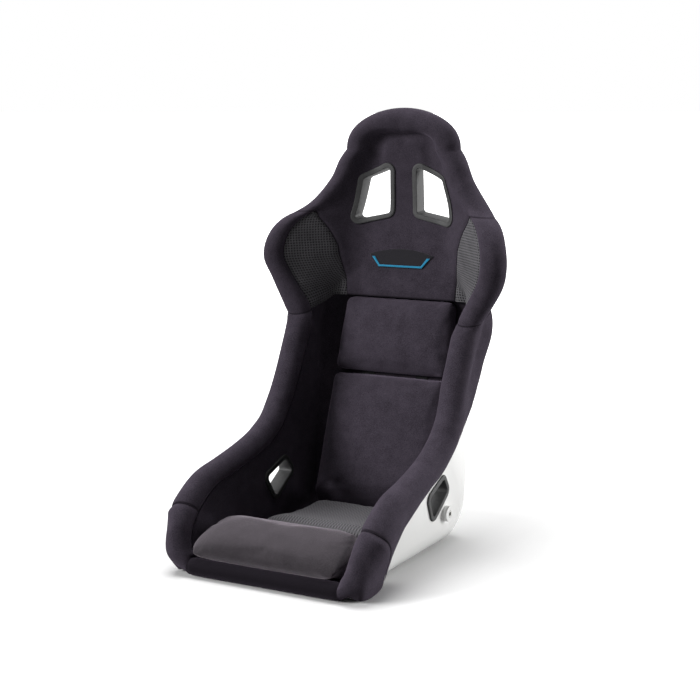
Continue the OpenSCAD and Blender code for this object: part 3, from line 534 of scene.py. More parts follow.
def dense_rows(a, b, step=0.11, ends=(0.0, 0.012, 0.03, 0.06)):
    """Ribs from a to b, closer together at both ends."""
    inner = rows_between(a + ends[-1] * 1.6, b - ends[-1] * 1.6, step)
    return np.r_[[a + e for e in ends], inner, [b - e for e in ends[::-1]]]


def roll(name, a, b):
    """Roll from seam to seam, with the distances to its seams for the dark seam lines and their painted
    crease shade.
    """
    front, back, end = [], [], []
    for s in dense_rows(a, b):
        r = rib(s)
        f, g = roll_rows(r, puff=end_tuck(s, a, b))
        front.append(roll_points(r, f, True))
        back.append(roll_points(r, g, False))
        end.append([min(abs(s - a), abs(s - b)) * ROLL_PACE] * len(f))
    return skin(name, front, back, layers={"end_mm": end, "side_mm": [arc(row) for row in front]})


LIP_R = LIP_HEIGHT + WALL / 2 - GAP
LIP_WAY = unit(np.array([SPINE[0][0] - SPINE[1][0], SPINE[0][1] - SPINE[1][1]]))


def lip_points(outline, x):
    """An outline in the plane across the lip, at one place along it."""
    q = LIP_WAY * outline[:, :1] + np.array([LIP_WAY[1], -LIP_WAY[0]]) * outline[:, 1:]
    pts = np.c_[np.full(len(outline), x), SPINE[0][0] + q[:, 0], SPINE[0][1] + q[:, 1]]
    return above_floor(pts)


def between(keys, t):
    """Outline at a place between those of a series."""
    i = min(int(t), len(keys) - 2)
    p = keys[i - 1] if i > 0 else 2 * keys[0] - keys[1]
    w = keys[i + 2] if i + 2 < len(keys) else 2 * keys[-1] - keys[-2]
    return blend(p, keys[i], keys[i + 1], w, t - i)


def nose(name):
    """Front end of the side roll: from the lip's section to the full roll, standing on the floor."""
    x, scale = LIP_HALF + GAP, LIP_R / ROLL
    f, g = roll_rows(rib(1), LIP_R * LIP_SKIRT / scale)
    f = f * scale
    f[:, 1] += WALL / 2 * (1 - scale)
    g[:, 0] = np.where(g[:, 0] < 0, g[:, 0] * scale * 0.9, g[:, 0])
    fronts, backs = [lip_points(f, x)], [lip_points(g, x)]
    stations = [1.0, 1.5, 2.0, 2.5, 3.0, 3.3, STITCH - SEAM_CUT]
    for s in stations:
        r = rib(s)
        f, g = roll_rows(r)
        fronts.append(roll_points(r, f, True))
        backs.append(roll_points(r, g, False))
    fronts, backs, stations = np.array(fronts), np.array(backs), [0.0] + stations
    ends = [STITCH - 0.05, STITCH - 0.025, STITCH - SEAM_CUT]
    rows = np.r_[0, 0.03, 0.08, np.linspace(0.16, STITCH - 0.1, 42), ends]
    front, back = [], []
    for s, t in zip(rows, np.interp(rows, stations, np.arange(len(stations)))):
        f, g = between(fronts, t), between(backs, t)
        f[:, 0] = np.maximum(f[:, 0], x)
        f, g = above_floor(f), above_floor(g)
        draw = drawn_in((STITCH - s) * ROLL_PACE) + drawn_in(s * LIP_PACE, 0.07, 6)
        front.append(f + (g.mean(0) - f) * draw)
        back.append(g)
    front = np.array(front)
    outer = len(TURNS) + SKIRT_STEPS - FLANK_TURNS
    flank = front[:, -outer:]
    share = np.interp(rows, SMOOTH_RIBS, SMOOTH_SHARES)[1:-1, None, None]
    share = share * np.minimum(1, np.arange(1, outer - 1) / 6)[None, :, None]
    for _ in range(NOSE_PASSES):
        level = (flank[:-2, 1:-1] + flank[2:, 1:-1] + flank[1:-1, :-2] + flank[1:-1, 2:]) / 4
        flank[1:-1, 1:-1] += (level - flank[1:-1, 1:-1]) * share
        flank[1:-1, -1] += ((flank[:-2, -1] + flank[2:, -1]) / 2 - flank[1:-1, -1]) * share[:, -1]
    above_floor(front)
    end = [[min(abs(s - STITCH) * ROLL_PACE, s * LIP_PACE)] * front.shape[1] for s in rows]
    return skin(name, front, back, layers={"end_mm": end, "side_mm": [arc(row) for row in front]})


def front_roll(name):
    """Padded roll along the lip: an open ring in section, drawn in at its two ends."""
    turns = np.radians(np.linspace(200, 520, 44)) + math.atan2(LIP_WAY[1], LIP_WAY[0])
    near = np.array([0, 1.5, 4])
    xs = np.r_[near - LIP_HALF, np.linspace(-LIP_HALF + 8, LIP_HALF - 8, 60), LIP_HALF - near[::-1]]
    slot = np.linspace(-1, 1, len(turns))
    groove_line = np.c_[-16 * np.abs(slot) + 0.6, -slot * (WALL / 2 + GAP) + WALL / 2]
    outer, inner = [], []
    for x in xs:
        d = LIP_HALF - abs(x)
        rad = LIP_R * (1 - drawn_in(d, 0.1, 4.5) - 0.012 * (1 + math.cos(x / 27.0)) * 0.5)
        y = -LIP_REACH + rad * np.cos(turns)
        z = LIP_HEIGHT + WALL / 2 + rad * np.sin(turns)
        outer.append(np.c_[np.full(len(y), x), y, np.maximum(z, 0.5)])
        inner.append(lip_points(groove_line, x))
    return skin(name, outer, inner, layers={"end_mm": [[LIP_HALF - abs(x)] * len(turns) for x in xs]})


# ---- Shell, lining and cover -------------------------------------------------------
BOSS_SWELL, BOSS_SPREAD = 9, 27

# Rib, then how far the mesh panel's inner seam is from the middle.
MESH_EDGE = np.array([[15.75, 124], [17, 129], [18.4, 135], [19.2, 148], [20, 164]], float)


def columns_to(r, end):
    """Lengths along a rib up to an end, spread over its floor, corner and wall."""
    a, b = min(r.flat, end), min(r.flat + r.bend, end)
    return np.r_[np.linspace(0, a, 8), np.linspace(a, b, 15)[1:], np.linspace(b, end, 10)[1:]]


def shell_mesh(name):
    outer, inner = [], []
    low, high = rows_between(1.0, NECK, 0.11), rows_between(NECK, NECK + FAN, 0.1)[1:]
    for s in np.r_[0, 0.25, 0.5, 0.75, low, high]:
        r = rib(s)
        l = np.r_[columns_to(r, r.seam), r.length]
        outer.append(r.place(l, 0))
        inner.append(r.place(l, WALL))
    return skin(name, mirror_rows(outer), mirror_rows(inner), close_ends=False)


def lining_mesh(name):
    """Lining from side seam to side seam, lifted where it lies over the bosses of the mounts."""
    near, far = [], []
    for s in rows_between(0.35, SHOULDER_SEAM - SEAM_CUT, 0.11):
        r = rib(s)
        l = columns_to(r, r.seam - GAP)
        near.append(r.place(l, COVER_BACK))
        face = r.place(l, lining_face(r, l))
        away = np.minimum.reduce([np.hypot(face[:, 1] - y, face[:, 2] - MOUNT_Z) for y in MOUNT_Y])
        over = BOSS_SWELL * np.exp(-((away / BOSS_SPREAD) ** 2)) * (face[:, 0] > 120)
        far.append(r.place(l, lining_face(r, l) + over))
    return skin(name, mirror_rows(far), mirror_rows(near))


def mesh_length(r):
    """Length along a rib to the mesh panel's inner seam."""
    if r.s <= 20:
        x, depth = at(MESH_EDGE, r.s), COVER_BACK + COVER * 0.8
        return bisect(r.flat * 0.8, r.seam, lambda l: r.place(l, depth)[0, 0] < x)
    a, b = mesh_length(rib(20)), rib(WING_TOP).seam
    return a + (b - a) * (r.s - 20) / (WING_TOP - 20)


def groove(d, deep, wide):
    return deep * np.exp(-((np.asarray(d) / wide) ** 2))


def softened(points, k, reach=6, passes=24):
    """Rounds off the crease at point k and leaves the points out of reach alone."""
    points = points.copy()
    share = 1 - np.abs(np.arange(-reach, reach + 1))[:, None] / (reach + 1)
    for _ in range(passes):
        here = points[k - reach:k + reach + 1]
        level = (points[k - reach - 1:k + reach] + points[k - reach + 1:k + reach + 2]) / 2
        points[k - reach:k + reach + 1] = here + (level - here) * share * 0.5
    return points


def cover_mesh(name):
    """Shoulder and head cover: open beside the mesh panels, with its own roll above them."""
    rows = np.r_[dense_rows(SHOULDER_SEAM + SEAM_CUT, WING_TOP, 0.11, (0.0, 0.02, 0.05, 0.09)),
                 rows_between(WING_TOP, NECK, 0.1)[1:], rows_between(NECK, NECK + FAN, 0.1)[1:]]
    beside = rows < WING_TOP - 1e-9
    from_seam = (rows - rows[0]) * COVER_PACE
    wide = 31
    front, back, side = [], [], []
    for s, panel, seam in zip(rows, beside, from_seam):
        r = rib(s)
        end = mesh_length(r) if panel else r.seam
        l = end * np.linspace(0, 1, wide) ** 0.85 if panel else columns_to(r, end)
        depth = cover_face(r, l) - (groove(end - l, 3.0, 4.5) if panel else 0)
        depth = depth - groove(seam, 2.6, 4.0)
        f, g = roll_rows(r, puff=0 if panel else drawn_in((s - WING_TOP) * HEAD_PACE))
        edge = roll_points(r, f, True)
        face = np.r_[r.place(l, depth), edge[1:]]
        front.append(softened(face, len(l) - 1) if s > WING_TOP else face)
        back.append(np.r_[r.place(l, COVER_BACK), roll_points(r, g, False)[1:]])
        side.append(np.r_[end - l, arc(edge)[1:]] + (60 if s > WING_TOP else 0))
    front, back, side = mirror_rows(front), mirror_rows(back), np.array(side)
    n, w = front.shape[:2]
    middle = (w - 1) / 2
    keep = np.ones((n - 1, w - 1), bool)
    keep[:beside.sum()] = np.abs(np.arange(w - 1) + 0.5 - middle) < wide - 1
    from_roll = np.where(beside, NO_SEAM, np.abs(rows - WING_TOP) * HEAD_PACE)
    end = np.repeat(np.minimum(from_roll, from_seam)[:, None], w, 1)
    end[:, np.abs(np.arange(w) - middle) < wide] = from_seam[:, None]
    layers = {"end_mm": end, "side_mm": np.concatenate([side[:, :0:-1], side], 1)}
    return skin(name, front, back, kept=keep, close_ends=False, layers=layers)


def panel_mesh(name):
    """Mesh panel between the cover and the wing's roll."""
    front, back = [], []
    rows = dense_rows(SHOULDER_SEAM + SEAM_CUT, PANEL_TOP, 0.1, (0.0, 0.02, 0.05, 0.1))
    for s in rows:
        r = rib(s)
        a, b = mesh_length(r) + 2 * GAP, r.seam - GAP
        l = np.linspace(a, b, 22)
        rim = groove(np.minimum(l - a, b - l), 3.2, 4.5)
        face = cover_face(r, l) - rim - groove((s - rows[0]) * COVER_PACE, 3.0, 4.5)
        front.append(r.place(l, face))
        back.append(r.place(l, COVER_BACK))
    return skin(name, front, back)


# ---- Pads and cushions -------------------------------------------------------------
PAD_FOOT, PAD_JOINT, PAD_TOP, PAD_LEDGE = 52.0, 306.0, 452.0, 5.0
PAD_TOP_Y, PAD_FOOT_Y, PAD_CROWN = 231.0, 101.0, 9.0
PAD_TOP_W, PAD_FOOT_W, PAD_INSET, PAD_BEVEL, PAD_SPLIT = 248.0, 282.0, 1.6, 9.0, 0.8
PAD_BACK = 2 * GAP + 2
PAD_SLOPE = (PAD_TOP_Y - PAD_FOOT_Y) / (PAD_TOP - PAD_FOOT)


def pad_plane(z):
    return PAD_TOP_Y - PAD_SLOPE * (PAD_TOP - z)


def pad_reach(b, n, ledge):
    return (b[1] - pad_plane(b[2]) + ledge) / (PAD_SLOPE * n[2] - n[1])


def pad_back_point(r, x):
    """Point of a pad's back at a distance from the middle."""
    def point(l):
        return r.place(l, float(lining_face(r, l)) + PAD_BACK)[0]

    return point(bisect(0.0, r.seam, lambda l: point(l)[0] < x))


def pad_station(z):
    """Rib on which a pad's front plane has a height."""
    def lower(s):
        r = rib(s)
        b = pad_back_point(r, 0)
        return (b + r.n * pad_reach(b, r.n, 0))[2] < z

    return bisect(9.0, 17.0, lower)


def corner_loss(d, radius):
    return radius - math.sqrt(radius**2 - max(0.0, radius - d) ** 2)


def pad_mesh(name, z0, z1, r0, r1, ledge):
    """Block of a back pad: its back on the lining, its front on one sloping plane."""
    s0, s1, tall = pad_station(z0), pad_station(z1), z1 - z0
    per = (s1 - s0) / tall
    near_end = np.r_[0, 2, 4.5, 8, 12, 17, 23]
    ds = np.r_[near_end, np.linspace(30, tall - 30, int((tall - 60) / 6) + 2), tall - near_end[::-1]]
    us = 1 - np.r_[1, np.linspace(0.94, 0.2, 18), 0.14, 0.09, 0.05, 0.02, 0.0]
    front, back = [], []
    for d in ds:
        r = rib(s0 + (PAD_INSET + d * (1 - 2 * PAD_INSET / tall)) * per)
        half = PAD_FOOT_W + (PAD_TOP_W - PAD_FOOT_W) * (z0 + d - PAD_FOOT) / (PAD_TOP - PAD_FOOT)
        half = half / 2 - PAD_INSET - (corner_loss(d, r0) + corner_loss(tall - d, r1))
        near = min(d, tall - d)
        f, g = [], []
        for u in us:
            b = pad_back_point(r, half * u)
            m = pad_back_point(r, min(half * u, r.flat * 0.98))
            t = pad_reach(m, r.n, ledge) + PAD_CROWN * (1 - u * u) * clamp(near / 40)
            e = clamp(min(near, (1 - u) * half) / PAD_BEVEL)
            drop = PAD_BEVEL * (1 - math.sqrt(max(0, 1 - (1 - e) ** 2)))
            v = m + r.n * (t - drop - PAD_INSET * 0.6)
            f.append([half * u, v[1], v[2]])
            g.append(b + r.n * PAD_INSET * 0.4)
        front.append(f)
        back.append(g)
    return skin(name, mirror_rows(front), mirror_rows(back), sharp=60)


FLOOR_TOP = COVER_BACK + LINING + PAD_BACK
SEAT_REAR, SEAT_FRONT, SEAT_HALF = 97.0, -113.0, 122.0
LEG_REAR, LEG_OFF = -168.0, 3.0
CUSHION_ROWS, CUSHION_INSET = 44, 1.5
RIM_FROM, RIM_SPAN, TUCK_FROM, TUCK_SHARE = 0.965, 0.035, 0.8, 0.2


def smooth_rows(rows):
    """Sections of a cushion, spread evenly over its table's and smoothed."""
    rows = np.asarray(rows, float)
    step = np.maximum(np.linalg.norm(np.diff(rows[:, :2], axis=0), axis=1), 0.5)
    d = np.r_[0, np.cumsum(step)]
    t = np.linspace(0, 1, CUSHION_ROWS) * d[-1]
    q = np.array([np.interp(t, d, column) for column in rows.T]).T
    for _ in range(2):
        q[1:-1] = (q[:-2] + 2 * q[1:-1] + q[2:]) / 4
    return q


def cushion_mesh(name, rows, side, tuck):
    """Cushion swept through its sections: y, z and half width of the top, y and z of the base."""
    us = np.r_[np.linspace(0, 0.86, 16), 0.9, 0.935, 0.965, 0.985, 1.0]
    top, low = [], []
    for y, z, half, by, bz in smooth_rows(rows):
        h, half = z - bz, half - CUSHION_INSET
        f, g = [], []
        for u in us:
            fall = side * u**6 + (0.5 * h - side) * clamp((u - RIM_FROM) / RIM_SPAN) ** 2
            f.append([half * u, y, max(z - fall, bz + 0.4 * h)])
            g.append([(half - tuck * clamp((u - TUCK_FROM) / TUCK_SHARE)) * u, by, bz])
        top.append(f)
        low.append(g)
    return skin(name, mirror_rows(top), mirror_rows(low), sharp=60)


def seat_rows():
    """Sections of the seat cushion, rear to front."""
    a, b, x, f, r = 57, 72, SEAT_HALF, SEAT_FRONT, SEAT_REAR
    t = FLOOR_TOP
    return [
        [r + 3, a - 22, x - 3, r + 3, t + 1],
        [r, a - 5, x, r - 2, t],
        [r - 8, a - 1, x + 1, r - 14, t],
        [r - 30, a, x + 1, r - 34, t],
        [r - 70, a + 1, x, r - 70, t],
        [f + 80, a + (b - a) * 0.3, x, f + 80, t],
        [f + 42, a + (b - a) * 0.7, x, f + 44, t],
        [f + 18, b, x, f + 24, t],
        [f + 6, b - 4, x - 1, f + 14, t],
        [f, b - 16, x - 3, f + 8, t],
        [f, b - 34, x - 5, f + 5, t],
    ]


def leg_floor(y):
    """Height of the lining under the leg cushion."""
    return max(0.0, float(np.interp(y, [-LIP_REACH, -205, -175], [LIP_HEIGHT, 2, 0]))) + FLOOR_TOP


def leg_rows():
    """Sections of the leg cushion, rear to front, down over the lip's roll."""
    r, rest = LEG_REAR, LIP_HEIGHT + WALL / 2 + LIP_R + GAP
    return [
        [r, 56, 136, r - 8, leg_floor(r)],
        [r - 1, 80, 140, r - 10, leg_floor(r)],
        [r - 5, 92, 143, r - 14, leg_floor(r - 14)],
        [r - 14, 97, 146, r - 22, leg_floor(r - 22)],
        [r - 28, 98, 150, r - 34, leg_floor(r - 34) + 0.4],
        [r - 48, 93, 155, r - 50, leg_floor(r - 50) + 0.4],
        [r - 68, 87, 159, r - 68, leg_floor(r - 68) + 0.4],
        [r - 86, 80, 161, r - 84, leg_floor(r - 84) + 0.8],
        [r - 102, 73, 161, r - 97, rest],
        [r - 115, 65, 159, r - 112, rest],
        [r - 123, 55, 157, r - 117, rest],
        [r - 125, 46, 156, r - 119, rest],
    ]


CLOTH_PRESSURE, CLOTH_STIFFNESS, CLOTH_FRAMES = 4.0, 12.0, 20
CLOTH_CELL, CLOTH_QUALITY, CLOTH_MASS, CLOTH_BEND, SHEAR_SHARE = 5, 6, 0.25, 0.6, 0.6


def coordinates(mesh):
    """A mesh's points, in metres."""
    flat = np.zeros(len(mesh.vertices) * 3, np.float32)
    mesh.vertices.foreach_get("co", flat)
    return flat.reshape(-1, 3).astype(float)


def inflate(obj, held, cap):
    """Blows a closed form up against its own cloth, holds its back, and limits how far it swells."""
    name = obj.name
    m = obj.modifiers.new("remesh", "REMESH")
    m.mode, m.voxel_size, m.use_smooth_shade = "VOXEL", CLOTH_CELL * MM, True
    bake(obj)
    mesh = obj.data
    start = coordinates(mesh)
    group = obj.vertex_groups.new(name="held")
    group.add([i for i, p in enumerate(start) if held(p / MM)], 1.0, "REPLACE")
    cloth = obj.modifiers.new("cloth", "CLOTH")
    c = cloth.settings
    c.quality, c.mass = CLOTH_QUALITY, CLOTH_MASS
    c.tension_stiffness = c.compression_stiffness = CLOTH_STIFFNESS
    c.shear_stiffness, c.bending_stiffness = CLOTH_STIFFNESS * SHEAR_SHARE, CLOTH_BEND
    c.use_pressure, c.uniform_pressure_force = True, CLOTH_PRESSURE
    c.vertex_group_mass = "held"
    c.effector_weights.gravity = 0
    cloth.collision_settings.use_collision = False
    cloth.point_cache.frame_start, cloth.point_cache.frame_end = 1, CLOTH_FRAMES
    scene = bpy.context.scene
    for number in range(1, CLOTH_FRAMES + 1):
        scene.frame_set(number)
    swollen = obj.evaluated_get(bpy.context.evaluated_depsgraph_get()).data
    move = coordinates(swollen) - start
    obj.modifiers.clear()
    scene.frame_set(1)
    size = np.linalg.norm(move, axis=1)[:, None]
    move *= np.minimum(1, cap * MM / np.maximum(size, 1e-9))
    mesh.vertices.foreach_set("co", (start + move).astype(np.float32).ravel())
    mesh.update()
    obj.vertex_groups.clear()
    s = obj.modifiers.new("smooth", "SMOOTH")
    s.factor, s.iterations = 0.5, 4
    s = obj.modifiers.new("fine", "SUBSURF")
    s.levels = s.render_levels = 1
    bake(obj)
    for p in obj.data.polygons:
        p.use_smooth = True
    obj.name = name
    return obj


# ---- Harness slots -----------------------------------------------------------------
SLOT_ROUND, FRAME_W, FRAME_RISE, LINER = 7.0, 10.0, 3.0, 2.5
RING_EDGE, SHOULDER_CUT, LAP_CUT, CROTCH_CUT = 0.15, (190.0, 331.0), (100, 260), (-10, 40)
SHOULDER_SLOT = [[32, 621], [110, 604], [89, 688], [31, 715]]
SLOT_MIDDLE, SLOT_FLARE = 70.0, 6.0
LAP_SLOT = [[-13, 119], [9, 76], [69, 115], [50, 142]]
CROTCH_SLOT = [[-35, -152], [35, -152], [35, -128], [-35, -128]]


def widening(y):
    return 1 + SLOT_FLARE / 40 * (y - HEAD_DEPTH + COVER_BACK + COVER + 10) / (COVER_BACK + COVER)


def shoulder_cutters():
    """Cutters through the back for both shoulder slots, wider at the shell than at the cover."""
    outline = rounded(SHOULDER_SLOT, SLOT_ROUND, LINER + GAP)
    cutters = []
    for side in (1, -1):
        verts = [(side * (SLOT_MIDDLE + (x - SLOT_MIDDLE) * widening(y)), y, z)
                 for y in SHOULDER_CUT for x, z in outline]
        cutters.append(block(verts, len(outline), split=True))
    return cutters


def belt_cutters():
    """Cutters for both lap slots and the crotch slot."""
    lap, crotch = (rounded(slot, SLOT_ROUND, LINER + GAP) for slot in (LAP_SLOT, CROTCH_SLOT))
    near, far = LAP_CUT
    return [prism(lap, "x", near, far), prism(lap, "x", -far, -near), prism(crotch, "z", *CROTCH_CUT)]


NEAR_ENOUGH, RIB_STEP, LENGTH_STEP, MOST_RIBS, MOST_LENGTH = 0.003, 0.02, 0.5, 1, 40


def on_surface(target, axes, depth, s, l):
    """Point of a layer of the seat that has two given coordinates."""
    for _ in range(12):
        r = rib(s)
        p = r.place(l, depth(r, l))[0]
        e = np.array([target[0] - p[axes[0]], target[1] - p[axes[1]]])
        if np.abs(e).max() < NEAR_ENOUGH:
            break
        r2, l2 = rib(s + RIB_STEP), l + LENGTH_STEP
        ps = (r2.place(l, depth(r2, l))[0] - p) / RIB_STEP
        pl = (r.place(l2, depth(r, l2))[0] - p) / LENGTH_STEP
        j = np.array([[ps[axes[0]], pl[axes[0]]], [ps[axes[1]], pl[axes[1]]]])
        ds, dl = np.linalg.solve(j, e)
        s += float(np.clip(ds, -MOST_RIBS, MOST_RIBS))
        l += float(np.clip(dl, -MOST_LENGTH, MOST_LENGTH))
    return p, s, l


def swept(name, grid):
    """Closed ring whose section runs down the grid's rows."""
    grid = np.array(grid)
    m, n = grid.shape[:2]
    faces = [
        (i * n + k, i * n + (k + 1) % n, ((i + 1) % m) * n + (k + 1) % n, ((i + 1) % m) * n + k)
        for i in range(m)
        for k in range(n)
    ]
    return clean(mesh_object(name, grid.reshape(-1, 3), faces), sharp=42)


def slot_line(slot, grow, count):
    """Outline of a slot in short steps, with a given number of points if there is one."""
    outline = rounded(slot, SLOT_ROUND, grow, 10)
    dense = []
    for i, p in enumerate(outline):
        q = outline[(i + 1) % len(outline)]
        n = max(1, int(np.linalg.norm(q - p) / 4))
        dense += [p + (q - p) * k / n for k in range(n)]
    if count is None or len(dense) == count:
        return dense
    ring = np.r_[dense, [dense[0]]]
    d = arc(ring)
    return [[np.interp(k * d[-1], d, ring[:, j]) for j in (0, 1)] for k in np.linspace(0, 1, count + 1)[:-1]]


def slot_part(name, slot, axes, section, near, far, sign, start, flared):
    """Moulded ring swept round a slot. A section's point is (growth, rise, whether on the near face)."""
    free = 3 - sum(axes)
    grid = []
    for grow, rise, is_near in section:
        s, l = start
        face = near if is_near else far
        row = []
        for p in slot_line(slot, grow, len(grid[0]) if grid else None):
            q, s, l = on_surface(p, axes, face, s, l)
            if flared:
                for _ in range(2):
                    w = widening(q[1] + sign * rise)
                    wide = (SLOT_MIDDLE + (p[0] - SLOT_MIDDLE) * w, p[1])
                    q, s, l = on_surface(wide, axes, face, s, l)
                p = wide
            q = q.copy()
            q[axes[0]], q[axes[1]] = p[0], p[1]
            q[free] += sign * rise
            row.append(q)
        grid.append(row)
    return swept(name, grid)


# Outer part of a frame's section: rounded at both rims, slightly hollow on top.
BEZEL = [(0.35, FRAME_RISE - 0.5), (0.9, FRAME_RISE - 0.1), (1.8, FRAME_RISE),
         (FRAME_W * 0.5, FRAME_RISE - 0.25), (FRAME_W - 2.2, FRAME_RISE), (FRAME_W - 1.0, FRAME_RISE - 0.35),
         (FRAME_W - 0.3, FRAME_RISE - 1.1), (FRAME_W, FRAME_RISE - 1.9), (FRAME_W, RING_EDGE)]
LINER_END = [(LINER, -FRAME_RISE, False), (0.5, -FRAME_RISE, False), (0.0, 0.5 - FRAME_RISE, False)]
NEAR_FACE = [(0.0, FRAME_RISE - 1.1)] + BEZEL + [(LINER, RING_EDGE)]
FRAME_SECTION = LINER_END + [(grow, rise, True) for grow, rise in NEAR_FACE]
RING_FACE = [(LINER + GAP, RING_EDGE), (LINER + GAP, FRAME_RISE - 0.5), (LINER + 0.9, FRAME_RISE),
             (FRAME_W - 2, FRAME_RISE), (FRAME_W - 0.5, FRAME_RISE - 0.7), (FRAME_W, FRAME_RISE - 1.8),
             (FRAME_W, RING_EDGE)]
RING_SECTION = [(grow, rise, True) for grow, rise in RING_FACE]


def on_cover(r, l):
    return cover_face(r, l) + GAP


def on_lining(r, l):
    return lining_face(r, l) + GAP


def on_shell(r, l):
    return -GAP


# Slot, its two axes, section, near and far face, way out, first guess of rib and length, flared or not.
SLOT_PARTS = {
    "shoulder_slot_frame": (SHOULDER_SLOT, (0, 2), FRAME_SECTION, on_cover, on_shell, -1, (21.3, 60), True),
    "shoulder_slot_ring": (SHOULDER_SLOT, (0, 2), RING_SECTION, on_shell, on_shell, 1, (21.3, 60), True),
    "lap_slot_frame": (LAP_SLOT, (1, 2), FRAME_SECTION, on_shell, on_lining, 1, (8.3, 250), False),
    "lap_slot_ring": (LAP_SLOT, (1, 2), RING_SECTION, on_lining, on_lining, -1, (8.3, 250), False),
}


def crotch_ring(name):
    """Frame of the crotch slot, on the flat floor."""
    top = COVER_BACK + LINING + GAP
    section = [(LINER, 2 * GAP), (0.4, 2 * GAP), (0, 2 * GAP + 0.4), (0, top + FRAME_RISE - 1)]
    section += [(grow, top + rise) for grow, rise in BEZEL] + [(LINER, top + 0.1)]
    grid = []
    for grow, z in section:
        outline = rounded(CROTCH_SLOT, SLOT_ROUND, grow, 12)
        grid.append(np.c_[outline, np.full(len(outline), z)])
    return swept(name, grid)


# ---- Badge -------------------------------------------------------------------------
BADGE_W, BADGE_H, BADGE_FOOT, BADGE_SHOULDER = 147.0, 38.0, 511.0, 26.0
BADGE_STATION, BADGE_CELL, PATCH_THICK, PATCH_RIM = 18.2, 2.2, 1.2, 0.8
RIBBON_EDGES, RIBBON_TOP, RIBBON_THICK = (2, 6), 533, 1.2


def badge_outline(inset, arch=24):
    """The badge's outline: a low trapezium with an arched top."""
    w = BADGE_W / 2 - inset * 2.2
    f = BADGE_W / 2 - 23 - inset * 0.6
    b, m = BADGE_FOOT + inset, BADGE_FOOT + BADGE_SHOULDER - inset * 0.5
    rise = BADGE_H - BADGE_SHOULDER - inset
    t = np.linspace(0, 1, arch + 1)
    return np.r_[[[f, b]], np.c_[w * (1 - 2 * t), m + rise * 4 * t * (1 - t)], [[-f, b]]]


def cover_y(x, z, lift):
    """Place of the cover's face, or of a layer on it, at a point of the front view."""
    def depth(r, l):
        return cover_face(r, l) + lift

    point, _, _ = on_surface((abs(x), z), (0, 2), depth, BADGE_STATION, max(abs(x), 1.0))
    return point[1]


def patch(name):
    """Thin patch cut to the badge's outline, lying on the cover."""
    outline = badge_outline(0)
    low, high = outline.min(0), outline.max(0)
    bm = bmesh.new()
    bm.faces.new([bm.verts.new((p[0], 0, p[1])) for p in outline])
    for way, a, b in ((Vector((1, 0, 0)), low[0], high[0]), (Vector((0, 0, 1)), low[1], high[1])):
        for c in np.arange(math.ceil(a / BADGE_CELL) * BADGE_CELL, b, BADGE_CELL):
            everything = bm.verts[:] + bm.edges[:] + bm.faces[:]
            bmesh.ops.bisect_plane(bm, geom=everything, plane_co=way * c, plane_no=way)
    verts = [np.array(v.co) for v in bm.verts]
    bm.verts.index_update()
    polys = [[v.index for v in f.verts] for f in bm.faces]
    edges = [[v.index for v in e.verts] for e in bm.edges if e.is_boundary]
    bm.free()
    border = {i for e in edges for i in e}
    n = len(verts)
    top = [[x, cover_y(x, z, GAP + (PATCH_THICK - (PATCH_RIM if i in border else 0))), z]
           for i, (x, _, z) in enumerate(verts)]
    base = [[x, cover_y(x, z, GAP), z] for x, _, z in verts]
    faces = polys + [[n + i for i in p[::-1]] for p in polys]
    faces += [[a, b, n + b, n + a] for a, b in edges]
    return clean(mesh_object(name, np.array(top + base), faces), sharp=50)


def ribbon(name):
    """Ribbon along the badge's lower sides, between two insets of its outline."""
    paths = []
    for inset in RIBBON_EDGES:
        a = badge_outline(inset)
        path = np.array([a[1], a[0], a[-1], a[-2]])
        for end, inner in ((0, 1), (3, 2)):
            p, q = path[end], path[inner]
            if p[1] > RIBBON_TOP:
                path[end] = q + (p - q) * (RIBBON_TOP - q[1]) / (p[1] - q[1])
        stretches = zip(path, path[1:], (9, 22, 9))
        paths.append([p * (1 - k / n) + q * (k / n) for p, q, n in stretches for k in range(n)] + [path[3]])
    lift = 2 * GAP + PATCH_THICK
    outer, inner = [], []
    for p, q in zip(*paths):
        o, w = [], []
        for t in (0, 0.08, 0.35, 0.65, 0.92, 1):
            m = p * (1 - t) + q * t
            rise = RIBBON_THICK * (1 - (2 * t - 1) ** 6 * 0.8)
            o.append([m[0], cover_y(m[0], m[1], lift + rise), m[1]])
            w.append([m[0], cover_y(m[0], m[1], lift), m[1]])
        outer.append(o)
        inner.append(w)
    return skin(name, outer, inner)


